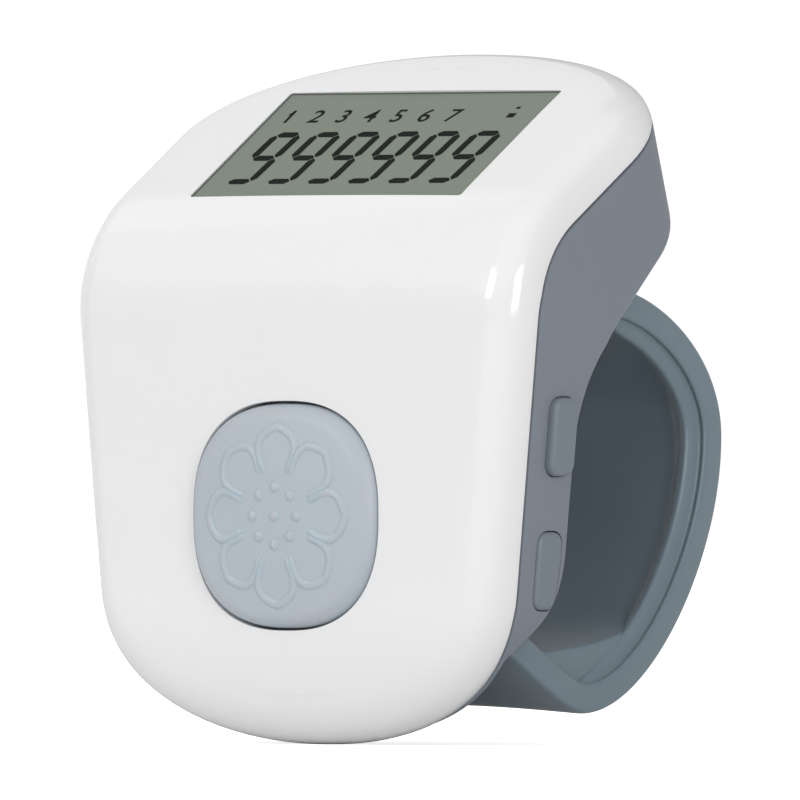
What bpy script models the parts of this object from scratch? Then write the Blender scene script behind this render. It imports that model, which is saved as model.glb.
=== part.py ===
"""A digital finger counter: a bent two-part case on a finger strap, with a display, a count button,
two side buttons, a button cell, and the board that they work on.

The case is drawn along a spine. That is the line, seen from the side, where the cover meets the
housing: a curl at the bottom, a straight lower panel, a bend and a straight upper panel. A place in
the case is (x, run, level): x across, run along the spine, and level out of it, towards the front
if positive. The lower panel is upright and faces -Y, and the finger lies along X.
"""

import math

import bmesh
import bpy
from mathutils import Matrix, Vector

MM = 0.001

# Spine
CURL_RADIUS = 14.7 * MM
CURL_ANGLE = math.radians(33)
LOWER_LENGTH = 17.5 * MM
BEND_RADIUS = 7.0 * MM
BEND_ANGLE = math.radians(56.3)
UPPER_LENGTH = 16.85 * MM
CURL_RUN = CURL_RADIUS * CURL_ANGLE
BEND_START = CURL_RUN + LOWER_LENGTH
BEND_END = BEND_START + BEND_RADIUS * BEND_ANGLE
SPINE_LENGTH = BEND_END + UPPER_LENGTH
CURL_TOP = CURL_RADIUS * math.sin(CURL_ANGLE)

# Plan outline of the case, on the unrolled spine
HALF_WIDTH = 17.7 * MM
LOW_HALF_WIDTH = 15.9 * MM
LOW_END = 0.4 * MM
LOW_CORNER = 9.5 * MM
LOW_CORNER_REACH = 9.0 * MM
LOW_CORNER_PULL = 5.5 * MM
TAPER_END = BEND_START + 1.5 * MM
TOP_CORNER = 10.3 * MM
TOP_CORNER_REACH = 10.3 * MM
TOP_CORNER_PULL = 6.4 * MM
CORNER_STEPS = 10
LONG_STEP = 2.4 * MM
SHORT_STEP = 1.1 * MM

# Walls
COVER_WALL = 1.2 * MM
HOUSING_WALL = 1.2 * MM
COVER_RISE = 2.6 * MM
COVER_CROWN = 0.15 * MM
COVER_FILLET = 2.2 * MM
COVER_END_FILLET = 3.7 * MM
COVER_END_REACH = 11.0 * MM
COVER_EDGE = 0.35 * MM
INNER_FILLET = 1.6 * MM
SEAM = 0.15 * MM
LAP_INSET = 0.55 * MM
LAP_DEPTH = 0.6 * MM
BACK_FILLET = 0.45 * MM
TOP_FILLET = 3.3 * MM
TOP_FILLET_START = 9.5 * MM
CAP_COLUMNS = 6
FILLET_SHARE = 0.6

# Finger side of the housing, seen from the side
SADDLE_DEPTH = 4.5 * MM
SADDLE_RADIUS = 11.0 * MM
SLOPE_ANGLE = math.radians(45)
END_WALL_ANGLE = math.radians(79)
END_WALL = 4.95 * MM
TURN_START = 14.0 * MM
CHIN_HEIGHT = 9.0 * MM
CHIN_ANGLE = math.radians(48)
CHIN_RADIUS = 6.7 * MM
LIP_DEPTH = 0.6 * MM
LIP_STEP = 0.15 * MM

# Clearances
SEAT = 0.1 * MM
CLEAR = 0.3 * MM

# Count button
BUTTON_HEIGHT_Z = 13.76 * MM
BUTTON_WIDTH = 14.4 * MM
BUTTON_LENGTH = 13.5 * MM
BUTTON_POWER = 2.7
BUTTON_GAP = 0.2 * MM
BUTTON_PROUD = 1.05 * MM
BUTTON_DOME = 0.35 * MM
BUTTON_SHOULDER = 1.1 * MM
BUTTON_FLANGE = 0.8 * MM
BUTTON_FLANGE_THICK = 0.6 * MM
BUTTON_TRAVEL = 0.4 * MM
BUTTON_SIDES = 48

# Display
WINDOW_WIDTH = 21.4 * MM
WINDOW_LENGTH = 11.5 * MM
WINDOW_RUN = 4.87 * MM
WINDOW_LIP = 0.6 * MM
WINDOW_STEP = 0.15 * MM
WINDOW_CORNER = 0.4 * MM
WINDOW_LEDGE = 0.7 * MM
LENS_THICK = 0.7 * MM
GLASS_BORDER = 0.6 * MM
GLASS_THICK = 0.55 * MM
GLASS_LEDGE = 0.9 * MM
REFLECTOR_THICK = 0.15 * MM
FRAME_RIM = 0.5 * MM
FRAME_FLOOR = 0.5 * MM

# Board
BOARD_FACE = 1.55 * MM
BOARD_THICK = 0.8 * MM
BOARD_WIDTH = 23.0 * MM
BOARD_LOW = 9.7 * MM
BOARD_HIGH = 21.6 * MM
BOARD_CORNER = 1.0 * MM
PEG_RADIUS = 0.55 * MM
PEG_X = 8.6 * MM
PEG_LOW_Z = 11.0 * MM
PEG_HIGH_Z = 20.4 * MM
CHIP_X = -6.6 * MM
CHIP_Z = 17.4 * MM
CHIP_RADIUS = 2.1 * MM
CHIP_HEIGHT = 0.9 * MM
RIBBON_WIDTH = 13.0 * MM
RIBBON_THICK = 0.15 * MM
RIBBON_TURN = 0.45 * MM
RIBBON_RISE = 5.4 * MM
RIBBON_ON_BOARD = 1.3 * MM

# Switches
SWITCH_SIDE = 4.5 * MM
SWITCH_HEIGHT = 1.0 * MM
SWITCH_WELL = 1.3 * MM
SWITCH_CORNER = 0.4 * MM
PLUNGER_RADIUS = 1.05 * MM
SIDE_SWITCH_DEPTH = 3.4 * MM
SIDE_SWITCH_WIDTH = 4.0 * MM
SIDE_SWITCH_HEIGHT = 1.5 * MM
SIDE_PLUNGER_RADIUS = 0.38 * MM
SIDE_PLUNGER_INSIDE = 0.7 * MM

# Side buttons
SIDE_BUTTON_LENGTH = 4.75 * MM
SIDE_BUTTON_WIDTH = 2.25 * MM
SIDE_BUTTON_CORNER = 0.8 * MM
SIDE_BUTTON_DEPTH = 2.8 * MM
SIDE_BUTTON_INSIDE = 0.25 * MM
SIDE_BUTTON_GAP = 0.12 * MM
LOWER_SIDE_SWEEP = 2.6 * MM
LOWER_SIDE_FORWARD = 0.15 * MM
SIDE_CAP_INSIDE = 0.75 * MM
SIDE_SHOULDER = 0.35 * MM
SIDE_POCKET = 1.35 * MM
SIDE_FLANGE_THICK = 0.5 * MM
SIDE_FLANGE_OVERLAP = 0.12 * MM
SIDE_TRAVEL = 0.35 * MM
UPPER_SIDE_Z = 18.53 * MM
UPPER_SIDE_PROUD = 0.55 * MM
LOWER_SIDE_Z = 10.46 * MM
LOWER_SIDE_PROUD = 0.2 * MM

# Case screws
SCREW_X = 13.2 * MM
SCREW_Z = 14.55 * MM
TOP_SCREW_X = 13.5 * MM
TOP_SCREW_FROM_END = 7.0 * MM
SCREW_RADIUS = 0.6 * MM
SCREW_HEAD_RADIUS = 1.2 * MM
SCREW_HEAD = 0.7 * MM
SCREW_SINK = 0.15 * MM
SCREW_CLEAR = 0.2 * MM
POST_RADIUS = 1.25 * MM
SCREW_BITE = 2.6 * MM
SCREW_SLOT = 0.3 * MM
BOSS_HEIGHT = 0.8 * MM

# Battery bay, on the slope beyond the strap
CELL_RADIUS = 3.95 * MM
CELL_HEIGHT = 2.6 * MM
CELL_RIM = 0.35 * MM
CELL_X = -3.0 * MM
BAY_FROM_END = 6.2 * MM
BAY_GAP = 0.25 * MM
DOOR_LENGTH = 8.5 * MM
DOOR_WIDTH = 16.0 * MM
DOOR_X = -0.6 * MM
DOOR_THICK = 0.9 * MM
DOOR_CORNER = 1.2 * MM
DOOR_GAP = 0.15 * MM
DOOR_SCREW_X = 4.9 * MM
DOOR_BOSS = 2.2 * MM
CUP_WALL = 0.7 * MM
CUP_DEPTH = 2.3 * MM
CONTACT_THICK = 0.2 * MM
CLIP_WIDTH = 3.0 * MM
WIRE_RADIUS = 0.3 * MM
WIRE_STEPS = 6
WIRE_X = 8.4 * MM
WIRE_OFF_BAR = 2.8 * MM
LEAF_LENGTH = 8.2 * MM
LEAF_OFFSET = 1.4 * MM
LEAF_CORNER = 0.5 * MM
FOOT_LENGTH = 2.0 * MM

# Strap
STRAP_HALF_WIDTH = 13.5 * MM
STRAP_ROOT_HALF_WIDTH = 13.2 * MM
STRAP_TOP_TAB = 12.6 * MM
STRAP_LOW_TAB = 9.6 * MM
STRAP_TAB_THICK = 1.0 * MM
STRAP_DIP = 0.5 * MM
STRAP_HEAD_THICK = 0.6 * MM
STRAP_HEAD_BELOW = 0.9 * MM
STRAP_HEAD_ABOVE = 1.1 * MM
STRAP_THICK = 1.8 * MM
STRAP_BEAD = 1.0 * MM
STRAP_BEAD_REACH = 3.0 * MM
STRAP_EDGE = 0.4 * MM
STRAP_SLOT_GAP = 0.2 * MM
STRAP_BAR_RADIUS = 1.25 * MM
STRAP_SLOT_REACH = 5.0 * MM
STRAP_SHOULDER = 5.0 * MM
STRAP_LEAST_BEAD = 0.05
STRAP_STEPS = 14
STRAP_REACH = 17.95 * MM
STRAP_APEX_SHARE = 0.643
STRAP_FOOT = (9.4 * MM, 1.8 * MM)
STRAP_FROM_END = 11.35 * MM
STRAP_CORNER_IN = 5.9 * MM
STRAP_CORNER_DOWN = 3.4 * MM
STRAP_LOW_CORNER_IN = 7.1 * MM
STRAP_LOW_CORNER_UP = 9.0 * MM
STRAP_ROOT_BEND = 1.0 * MM
STRAP_ROOT_STRAIGHT = 4.6 * MM
STRAP_LEAN = math.radians(34.5)
STRAP_ROOT_UP = -0.5 * MM


def clear_scene():
    for thing in list(bpy.data.objects):
        bpy.data.objects.remove(thing)


def material(name, colour, roughness, metallic=0.0, alpha=1.0):
    made = bpy.data.materials.new(name)
    made.use_nodes = True
    shader = made.node_tree.nodes["Principled BSDF"]
    shader.inputs["Base Color"].default_value = (*colour, 1.0)
    shader.inputs["Roughness"].default_value = roughness
    shader.inputs["Metallic"].default_value = metallic
    shader.inputs["Alpha"].default_value = alpha
    made.diffuse_color = (*colour, alpha)
    return made


clear_scene()
WHITE = material("white_gloss", (0.86, 0.86, 0.86), 0.25)
GREY = material("grey_housing", (0.21, 0.235, 0.265), 0.42)
SIDE_GREY = material("side_button_grey", (0.25, 0.275, 0.305), 0.4)
BUTTON_GREY = material("count_button_grey", (0.44, 0.49, 0.53), 0.5)
SILICONE = material("strap_silicone", (0.085, 0.11, 0.13), 0.6)
CLEAR_PLASTIC = material("clear_window", (0.9, 0.92, 0.92), 0.05, alpha=0.3)
GLASS = material("display_glass", (0.62, 0.68, 0.62), 0.08, alpha=0.5)
REFLECTOR = material("display_reflector", (0.23, 0.26, 0.22), 0.5)
INNER_WHITE = material("inner_white", (0.7, 0.7, 0.68), 0.5)
RIBBON = material("ribbon_film", (0.45, 0.25, 0.08), 0.4)
BOARD_GREEN = material("board_green", (0.02, 0.16, 0.06), 0.45)
RESIN = material("chip_resin", (0.01, 0.01, 0.01), 0.35)
SWITCH_BLACK = material("switch_black", (0.02, 0.02, 0.02), 0.5)
STEEL = material("steel", (0.6, 0.6, 0.62), 0.3, metallic=1.0)
CELL_STEEL = material("cell_steel", (0.75, 0.75, 0.76), 0.22, metallic=1.0)
RED_WIRE = material("red_wire", (0.5, 0.02, 0.02), 0.5)
BLACK_WIRE = material("black_wire", (0.02, 0.02, 0.02), 0.5)


# The spine and the places around it


def smooth_step(value):
    value = min(max(value, 0.0), 1.0)
    return value * value * (3 - 2 * value)


def spine(run):
    """Depth, height and lean of the spine at this run."""
    if run < CURL_RUN:
        turn = (CURL_RUN - run) / CURL_RADIUS
        return CURL_RADIUS * (1 - math.cos(turn)), CURL_TOP - CURL_RADIUS * math.sin(turn), -turn
    if run < BEND_START:
        return 0.0, CURL_TOP + run - CURL_RUN, 0.0
    turn = min((run - BEND_START) / BEND_RADIUS, BEND_ANGLE)
    beyond = max(run - BEND_END, 0.0)
    depth = BEND_RADIUS * (1 - math.cos(turn)) + beyond * math.sin(turn)
    height = CURL_TOP + LOWER_LENGTH + BEND_RADIUS * math.sin(turn) + beyond * math.cos(turn)
    return depth, height, turn


def inward(run):
    """Angle below level of the way that the housing's wall leaves the spine."""
    return END_WALL_ANGLE * smooth_step((run - TURN_START) / (SPINE_LENGTH - TURN_START))


END_Y, END_Z, _ = spine(SPINE_LENGTH)
SLOPE_END = (
    END_Y + END_WALL * math.cos(END_WALL_ANGLE),
    END_Z - END_WALL * math.sin(END_WALL_ANGLE),
)


def slope_point(from_end):
    """A point on the slope, this far down from its end."""
    return (
        SLOPE_END[0] - from_end * math.cos(SLOPE_ANGLE),
        SLOPE_END[1] - from_end * math.sin(SLOPE_ANGLE),
    )


def arc_points(centre, radius, first, last, steps=8):
    """Points from one angle to another, measured from +Y towards +Z."""
    angles = [first + (last - first) * k / steps for k in range(steps + 1)]
    return [(centre[0] + radius * math.cos(a), centre[1] + radius * math.sin(a)) for a in angles]


def back_line():
    """The housing's finger side from the side: a chin, an upright face, a round corner, the slope."""
    chin_turn = math.pi / 2 - CHIN_ANGLE
    chin_tangent = CHIN_RADIUS * math.tan(chin_turn / 2)
    chin_centre = (SADDLE_DEPTH - CHIN_RADIUS, CHIN_HEIGHT + chin_tangent)
    chin = arc_points(chin_centre, CHIN_RADIUS, -chin_turn, 0.0)
    below = (
        chin[0][0] - SPINE_LENGTH * math.cos(CHIN_ANGLE),
        chin[0][1] - SPINE_LENGTH * math.sin(CHIN_ANGLE),
    )
    turn = math.pi / 2 - SLOPE_ANGLE
    corner_z = SLOPE_END[1] - (SLOPE_END[0] - SADDLE_DEPTH) * math.tan(SLOPE_ANGLE)
    tangent = SADDLE_RADIUS * math.tan(turn / 2)
    centre = (SADDLE_DEPTH + SADDLE_RADIUS, corner_z - tangent)
    saddle = arc_points(centre, SADDLE_RADIUS, math.pi, math.pi - turn)
    return [below] + chin + saddle + [slope_point(-SPINE_LENGTH)]


BACK_LINE = back_line()


def back_depth(run):
    """How far the housing reaches from the spine to its finger side."""
    depth, height, _ = spine(run)
    way = (math.cos(inward(run)), -math.sin(inward(run)))
    found = []
    for (y0, z0), (y1, z1) in zip(BACK_LINE, BACK_LINE[1:]):
        side = (y1 - y0, z1 - z0)
        cross = way[0] * side[1] - way[1] * side[0]
        if abs(cross) < 1e-15:
            continue
        gap = (y0 - depth, z0 - height)
        far = (gap[0] * side[1] - gap[1] * side[0]) / cross
        share = (gap[0] * way[1] - gap[1] * way[0]) / cross
        if far > 0 and -1e-9 <= share <= 1 + 1e-9:
            found.append(far)
    return max(min(found, default=LIP_DEPTH), LIP_DEPTH)


def place(x, run, level):
    """The point at (x, run, level). Out of the cover it follows the spine's normal."""
    depth, height, lean = spine(run)
    if level >= 0:
        return Vector((x, depth - level * math.cos(lean), height + level * math.sin(lean)))
    angle = inward(run)
    return Vector((x, depth - level * math.cos(angle), height + level * math.sin(angle)))


def cubic(start, first, second, end, count):
    """Points of a cubic curve, without its start."""
    made = []
    for k in range(1, count + 1):
        t = k / count
        weights = ((1 - t) ** 3, 3 * t * (1 - t) ** 2, 3 * t * t * (1 - t), t**3)
        ends = (start, first, second, end)
        made.append(tuple(sum(w * p[i] for w, p in zip(weights, ends)) for i in (0, 1)))
    return made


def half_width(run):
    """Half the case's width where its sides are straight."""
    share = (run - LOW_CORNER) / (TAPER_END - LOW_CORNER)
    return LOW_HALF_WIDTH + (HALF_WIDTH - LOW_HALF_WIDTH) * min(share, 1.0)


def stretch(start, end, step):
    count = max(1, round((end - start) / step))
    return [start + (end - start) * k / count for k in range(1, count + 1)]


def half_outline():
    """The right half of the plan outline, from the bottom's middle to the top's middle."""
    top_corner = SPINE_LENGTH - TOP_CORNER
    taper = (HALF_WIDTH - LOW_HALF_WIDTH) / (TAPER_END - LOW_CORNER)
    low_pull = (LOW_HALF_WIDTH - taper * LOW_CORNER_PULL, LOW_CORNER - LOW_CORNER_PULL)
    start = (0.0, LOW_END)
    points = [start] + cubic(
        start, (LOW_CORNER_REACH, LOW_END), low_pull, (LOW_HALF_WIDTH, LOW_CORNER), CORNER_STEPS
    )
    runs = stretch(LOW_CORNER, TURN_START, LONG_STEP) + stretch(TURN_START, BEND_START, 2 * SHORT_STEP)
    runs += stretch(BEND_START, TAPER_END, SHORT_STEP) + stretch(TAPER_END, BEND_END, SHORT_STEP)
    runs += stretch(BEND_END, top_corner, LONG_STEP)
    points += [(half_width(run), run) for run in runs]
    points += cubic(
        (HALF_WIDTH, top_corner),
        (HALF_WIDTH, top_corner + TOP_CORNER_PULL),
        (TOP_CORNER_REACH, SPINE_LENGTH),
        (0.0, SPINE_LENGTH),
        CORNER_STEPS,
    )
    return points


OUTLINE = half_outline()


def inset_outline(inset_at):
    """The right half outline, moved in along its own normals by an inset that follows the run."""
    moved = []
    last = len(OUTLINE) - 1
    for k, (x, run) in enumerate(OUTLINE):
        inset = inset_at(run)
        if k in (0, last):
            moved.append((0.0, run + (inset if k == 0 else -inset)))
            continue
        (x0, run0), (x1, run1) = OUTLINE[k - 1], OUTLINE[k + 1]
        length = math.hypot(x1 - x0, run1 - run0)
        moved.append((x - inset * (run1 - run0) / length, run + inset * (x1 - x0) / length))
    return moved


# Building meshes


def new_object(name, mesh_builder, finish, parent=None, smooth=35):
    mesh = bpy.data.meshes.new(name)
    mesh_builder.to_mesh(mesh)
    mesh_builder.free()
    mesh.materials.append(finish)
    mesh.shade_smooth()
    mesh.set_sharp_from_angle(angle=math.radians(smooth))
    made = bpy.data.objects.new(name, mesh)
    bpy.context.collection.objects.link(made)
    made.parent = parent
    return made


def ring(builder, inset, level):
    """A closed ring of vertices round the case; inset and level are functions of the run."""
    right = inset_outline(inset)
    flat = right + [(-x, run) for x, run in right[-2:0:-1]]
    return [builder.verts.new(place(x, run, level(run))) for x, run in flat], right, level


def bridge(builder, one, other):
    count = len(one)
    for k in range(count):
        builder.faces.new((one[k], one[(k + 1) % count], other[(k + 1) % count], other[k]))


def cap(builder, closed_ring, crown):
    """Fills a ring with rows that run across the case, so that the surface follows the bend."""
    verts, right, level = closed_ring
    count = len(verts)
    columns = CAP_COLUMNS if crown else 1
    rows = []
    for k, (half, run) in enumerate(right):
        if k in (0, len(right) - 1):
            rows.append([verts[k]])
            continue
        row = [verts[count - k]]
        for column in range(1, columns):
            x = half * (2 * column / columns - 1)
            rise = crown * half / HALF_WIDTH * (1 - (x / half) ** 2)
            row.append(builder.verts.new(place(x, run, level(run) + rise)))
        rows.append(row + [verts[k]])
    for low, high in zip(rows, rows[1:]):
        for k in range(columns):
            corners = low[k : k + 2] + high[k : k + 2][::-1]
            if len(low) == 1:
                corners = low + high[k : k + 2][::-1]
            elif len(high) == 1:
                corners = low[k : k + 2] + high
            builder.faces.new(corners)


def case_shell(name, steps, crowns, finish):
    """A shell of rings from its outer face round its rim to its inner face."""
    builder = bmesh.new()
    rings = [ring(builder, inset, level) for inset, level in steps]
    for one, other in zip(rings, rings[1:]):
        bridge(builder, one[0], other[0])
    cap(builder, rings[0], crowns[0])
    cap(builder, rings[-1], crowns[1])
    bmesh.ops.recalc_face_normals(builder, faces=builder.faces[:])
    return new_object(name, builder, finish)


def prism(builder, outline, low, high):
    """A closed prism from a flat outline, between two heights along Z."""
    bottom = [builder.verts.new((x, y, low)) for x, y in outline]
    top = [builder.verts.new((x, y, high)) for x, y in outline]
    bridge(builder, bottom, top)
    builder.faces.new(bottom[::-1])
    builder.faces.new(top)


def extruded(name, outline, low, high, finish, parent=None):
    builder = bmesh.new()
    prism(builder, outline, low, high)
    bmesh.ops.recalc_face_normals(builder, faces=builder.faces[:])
    return new_object(name, builder, finish, parent)


def lofted(name, sections, finish, parent=None):
    """A closed solid through flat sections, each a list of points in 3-D, all of one count."""
    builder = bmesh.new()
    rings = [[builder.verts.new(point) for point in section] for section in sections]
    for one, other in zip(rings, rings[1:]):
        bridge(builder, one, other)
    builder.faces.new(rings[0][::-1])
    builder.faces.new(rings[-1])
    bmesh.ops.recalc_face_normals(builder, faces=builder.faces[:])
    return new_object(name, builder, finish, parent)


def circle(radius, sides, x=0.0, y=0.0):
    turns = [2 * math.pi * k / sides for k in range(sides)]
    return [(x + radius * math.cos(turn), y + radius * math.sin(turn)) for turn in turns]


def rounded(width, length, corner, x=0.0, y=0.0, steps=4, sweep=0.0):
    """A rectangle with round corners, about (x, y); sweep lengthens the one at +x and +y along x."""
    points = []
    for quarter in range(4):
        reach = corner + (sweep if quarter == 0 else 0.0)
        mid_x = x + (width / 2 - reach) * (1 if quarter in (0, 3) else -1)
        mid_y = y + (length / 2 - corner) * (1 if quarter in (0, 1) else -1)
        for k in range(steps + 1):
            turn = math.pi / 2 * (quarter + k / steps)
            points.append((mid_x + reach * math.cos(turn), mid_y + corner * math.sin(turn)))
    return points


def box_outline(width, length, x=0.0, y=0.0):
    return [
        (x + a * width / 2, y + b * length / 2) for a, b in ((-1, -1), (1, -1), (1, 1), (-1, 1))
    ]


def oval(width, length, power, sides):
    """A squarish oval, the button's outline."""
    points = []
    for k in range(sides):
        turn = 2 * math.pi * k / sides
        c, s = math.cos(turn), math.sin(turn)
        x = width / 2 * math.copysign(abs(c) ** (2 / power), c)
        y = length / 2 * math.copysign(abs(s) ** (2 / power), s)
        points.append((x, y))
    return points


def boolean(target, tool, operation):
    step = target.modifiers.new(tool.name, "BOOLEAN")
    step.object = tool
    step.operation = operation
    step.solver = "EXACT"
    tool.hide_render = True
    tool.display_type = "WIRE"


def cut(target, tool):
    boolean(target, tool, "DIFFERENCE")


def join(target, tool):
    boolean(target, tool, "UNION")


def empty(name, matrix):
    made = bpy.data.objects.new(name, None)
    made.empty_display_size = 5 * MM
    bpy.context.collection.objects.link(made)
    made.matrix_world = matrix
    return made


# Frames that the flat pieces sit in: Z points out of the case


def frame(y, z, turn, x=0.0):
    return Matrix.Translation((x, y, z)) @ Matrix.Rotation(turn, 4, "X")


BEND_END_Y, BEND_END_Z, _ = spine(BEND_END)
LOWER_PANEL = empty("lower_panel", frame(0.0, 0.0, math.pi / 2))
UPPER_PANEL = empty("upper_panel", frame(BEND_END_Y, BEND_END_Z, math.pi / 2 - BEND_ANGLE))
SADDLE = empty("saddle", frame(SADDLE_DEPTH, 0.0, -math.pi / 2))
BAY = empty("battery_bay", frame(*slope_point(BAY_FROM_END), math.pi + SLOPE_ANGLE))


def always(value):
    """The same value at every run."""
    return lambda run: value


def cover_fillet(run):
    """The width of the cover's round edge: larger at both ends than along the sides."""
    share = smooth_step(1 - min(run, SPINE_LENGTH - run) / COVER_END_REACH)
    return COVER_FILLET + (COVER_END_FILLET - COVER_FILLET) * share


def make_cover():
    fillet = []
    for k in range(6):
        turn = math.pi / 2 * (1 - k / 5)
        level = COVER_EDGE + (COVER_RISE - COVER_EDGE) * math.sin(turn)
        fillet.append((lambda run, c=math.cos(turn): cover_fillet(run) * (1 - c), always(level)))
    rim = [
        (always(0.0), always(0.0)),
        (always(LAP_INSET), always(0.0)),
        (always(LAP_INSET), always(LAP_DEPTH)),
        (always(COVER_WALL), always(LAP_DEPTH)),
    ]
    inside = []
    for k in range(1, 4):
        turn = math.pi / 2 * k / 3
        level = LAP_DEPTH + (COVER_RISE - COVER_WALL - LAP_DEPTH) * math.sin(turn)
        inside.append((always(COVER_WALL + INNER_FILLET * (1 - math.cos(turn))), always(level)))
    return case_shell("top_cover", fillet + rim + inside, (COVER_CROWN, COVER_CROWN), WHITE)


def back_fillet(run):
    """The radius of the housing's finger-side edge: larger round the top, less on the thin lip."""
    share = smooth_step((run - BEND_END - TOP_FILLET_START) / (UPPER_LENGTH - TOP_FILLET_START))
    full = BACK_FILLET + (TOP_FILLET - BACK_FILLET) * share
    return min(full, (back_depth(run) - SEAM) * FILLET_SHARE)


def make_housing():
    outer = []
    for k in range(5):
        turn = math.pi / 2 * (1 - k / 4)
        outer.append(
            (
                lambda run, c=math.cos(turn): back_fillet(run) * (1 - c),
                lambda run, s=math.sin(turn): back_fillet(run) * (1 - s) - back_depth(run),
            )
        )
    tongue = LAP_DEPTH - SEAM
    rim = [
        (always(0.0), always(-SEAM)),
        (always(LAP_INSET + SEAM), always(-SEAM)),
        (always(LAP_INSET + SEAM), always(tongue)),
        (always(COVER_WALL), always(tongue)),
    ]
    inside = [
        (
            always(HOUSING_WALL),
            lambda run: min((HOUSING_WALL - back_depth(run)) / 2, tongue - LIP_STEP),
        ),
        (
            always(HOUSING_WALL + LIP_STEP / 2),
            lambda run: min(HOUSING_WALL - back_depth(run), tongue - 2 * LIP_STEP),
        ),
    ]
    return case_shell("lower_housing", outer + rim + inside, (0.0, 0.0), GREY)


cover = make_cover()
housing = make_housing()


# Count button and its hole


COVER_FACE = COVER_RISE + COVER_CROWN
COVER_INSIDE = COVER_FACE - COVER_WALL


def button_hole():
    hole = oval(BUTTON_WIDTH + 2 * BUTTON_GAP, BUTTON_LENGTH + 2 * BUTTON_GAP, BUTTON_POWER, BUTTON_SIDES)
    reach = COVER_FACE + BUTTON_PROUD
    tool = extruded(
        "button_hole", [(x, y + BUTTON_HEIGHT_Z) for x, y in hole], -SEAM, reach, WHITE, LOWER_PANEL
    )
    cut(cover, tool)


def make_count_button():
    """Flange, wall, round shoulder and domed top; its origin is on its slide axis."""
    top = COVER_FACE + BUTTON_PROUD
    flange_top = COVER_INSIDE - COVER_CROWN - CLEAR
    flange_low = flange_top - BUTTON_FLANGE_THICK
    shape = [(BUTTON_FLANGE, flange_low), (BUTTON_FLANGE, flange_top), (0.0, flange_top)]
    for k in range(5):
        turn = math.pi / 2 * k / 4
        inset = BUTTON_SHOULDER * (1 - math.cos(turn))
        shape.append((-inset, top - BUTTON_DOME - BUTTON_SHOULDER * (1 - math.sin(turn))))
    inner = BUTTON_WIDTH / 2 - BUTTON_SHOULDER
    for share in (0.65, 0.3):
        shape.append((-BUTTON_SHOULDER - inner * (1 - share), top - BUTTON_DOME * share**2))
    sections = []
    for grow, level in shape:
        outline = oval(BUTTON_WIDTH + 2 * grow, BUTTON_LENGTH + 2 * grow, BUTTON_POWER, BUTTON_SIDES)
        sections.append([(x, y, level) for x, y in outline])
    button = lofted("count_button", sections, BUTTON_GREY, LOWER_PANEL)
    button.location = (0.0, BUTTON_HEIGHT_Z, 0.0)
    hollow_high = flange_low + BUTTON_FLANGE_THICK * 1.5
    hollow = oval(BUTTON_WIDTH - 3 * COVER_WALL, BUTTON_LENGTH - 3 * COVER_WALL, BUTTON_POWER, 24)
    stem = circle(PLUNGER_RADIUS * 1.6, 24)
    builder = bmesh.new()
    outer_low = [builder.verts.new((x, y, flange_low - CLEAR)) for x, y in hollow]
    outer_high = [builder.verts.new((x, y, hollow_high)) for x, y in hollow]
    inner_high = [builder.verts.new((x, y, hollow_high)) for x, y in stem]
    inner_low = [builder.verts.new((x, y, flange_low - CLEAR)) for x, y in stem]
    for one, other in (
        (outer_low, outer_high),
        (outer_high, inner_high),
        (inner_high, inner_low),
        (inner_low, outer_low),
    ):
        bridge(builder, one, other)
    bmesh.ops.recalc_face_normals(builder, faces=builder.faces[:])
    tool = new_object("button_hollow", builder, BUTTON_GREY, LOWER_PANEL)
    tool.location = (0.0, BUTTON_HEIGHT_Z, 0.0)
    cut(button, tool)
    return flange_low


button_hole()
STEM_END = make_count_button()


# Display stack, from the window in


LENS_TOP = COVER_RISE - WINDOW_LIP
LENS_LOW = LENS_TOP - LENS_THICK
GLASS_TOP = LENS_LOW - SEAT
REAR_TOP = GLASS_TOP - GLASS_THICK - SEAT / 2
REFLECTOR_TOP = REAR_TOP - GLASS_THICK - SEAT / 2
FRAME_TOP = REFLECTOR_TOP - REFLECTOR_THICK - SEAT / 2
FRAME_LOW = FRAME_TOP - FRAME_FLOOR


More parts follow.
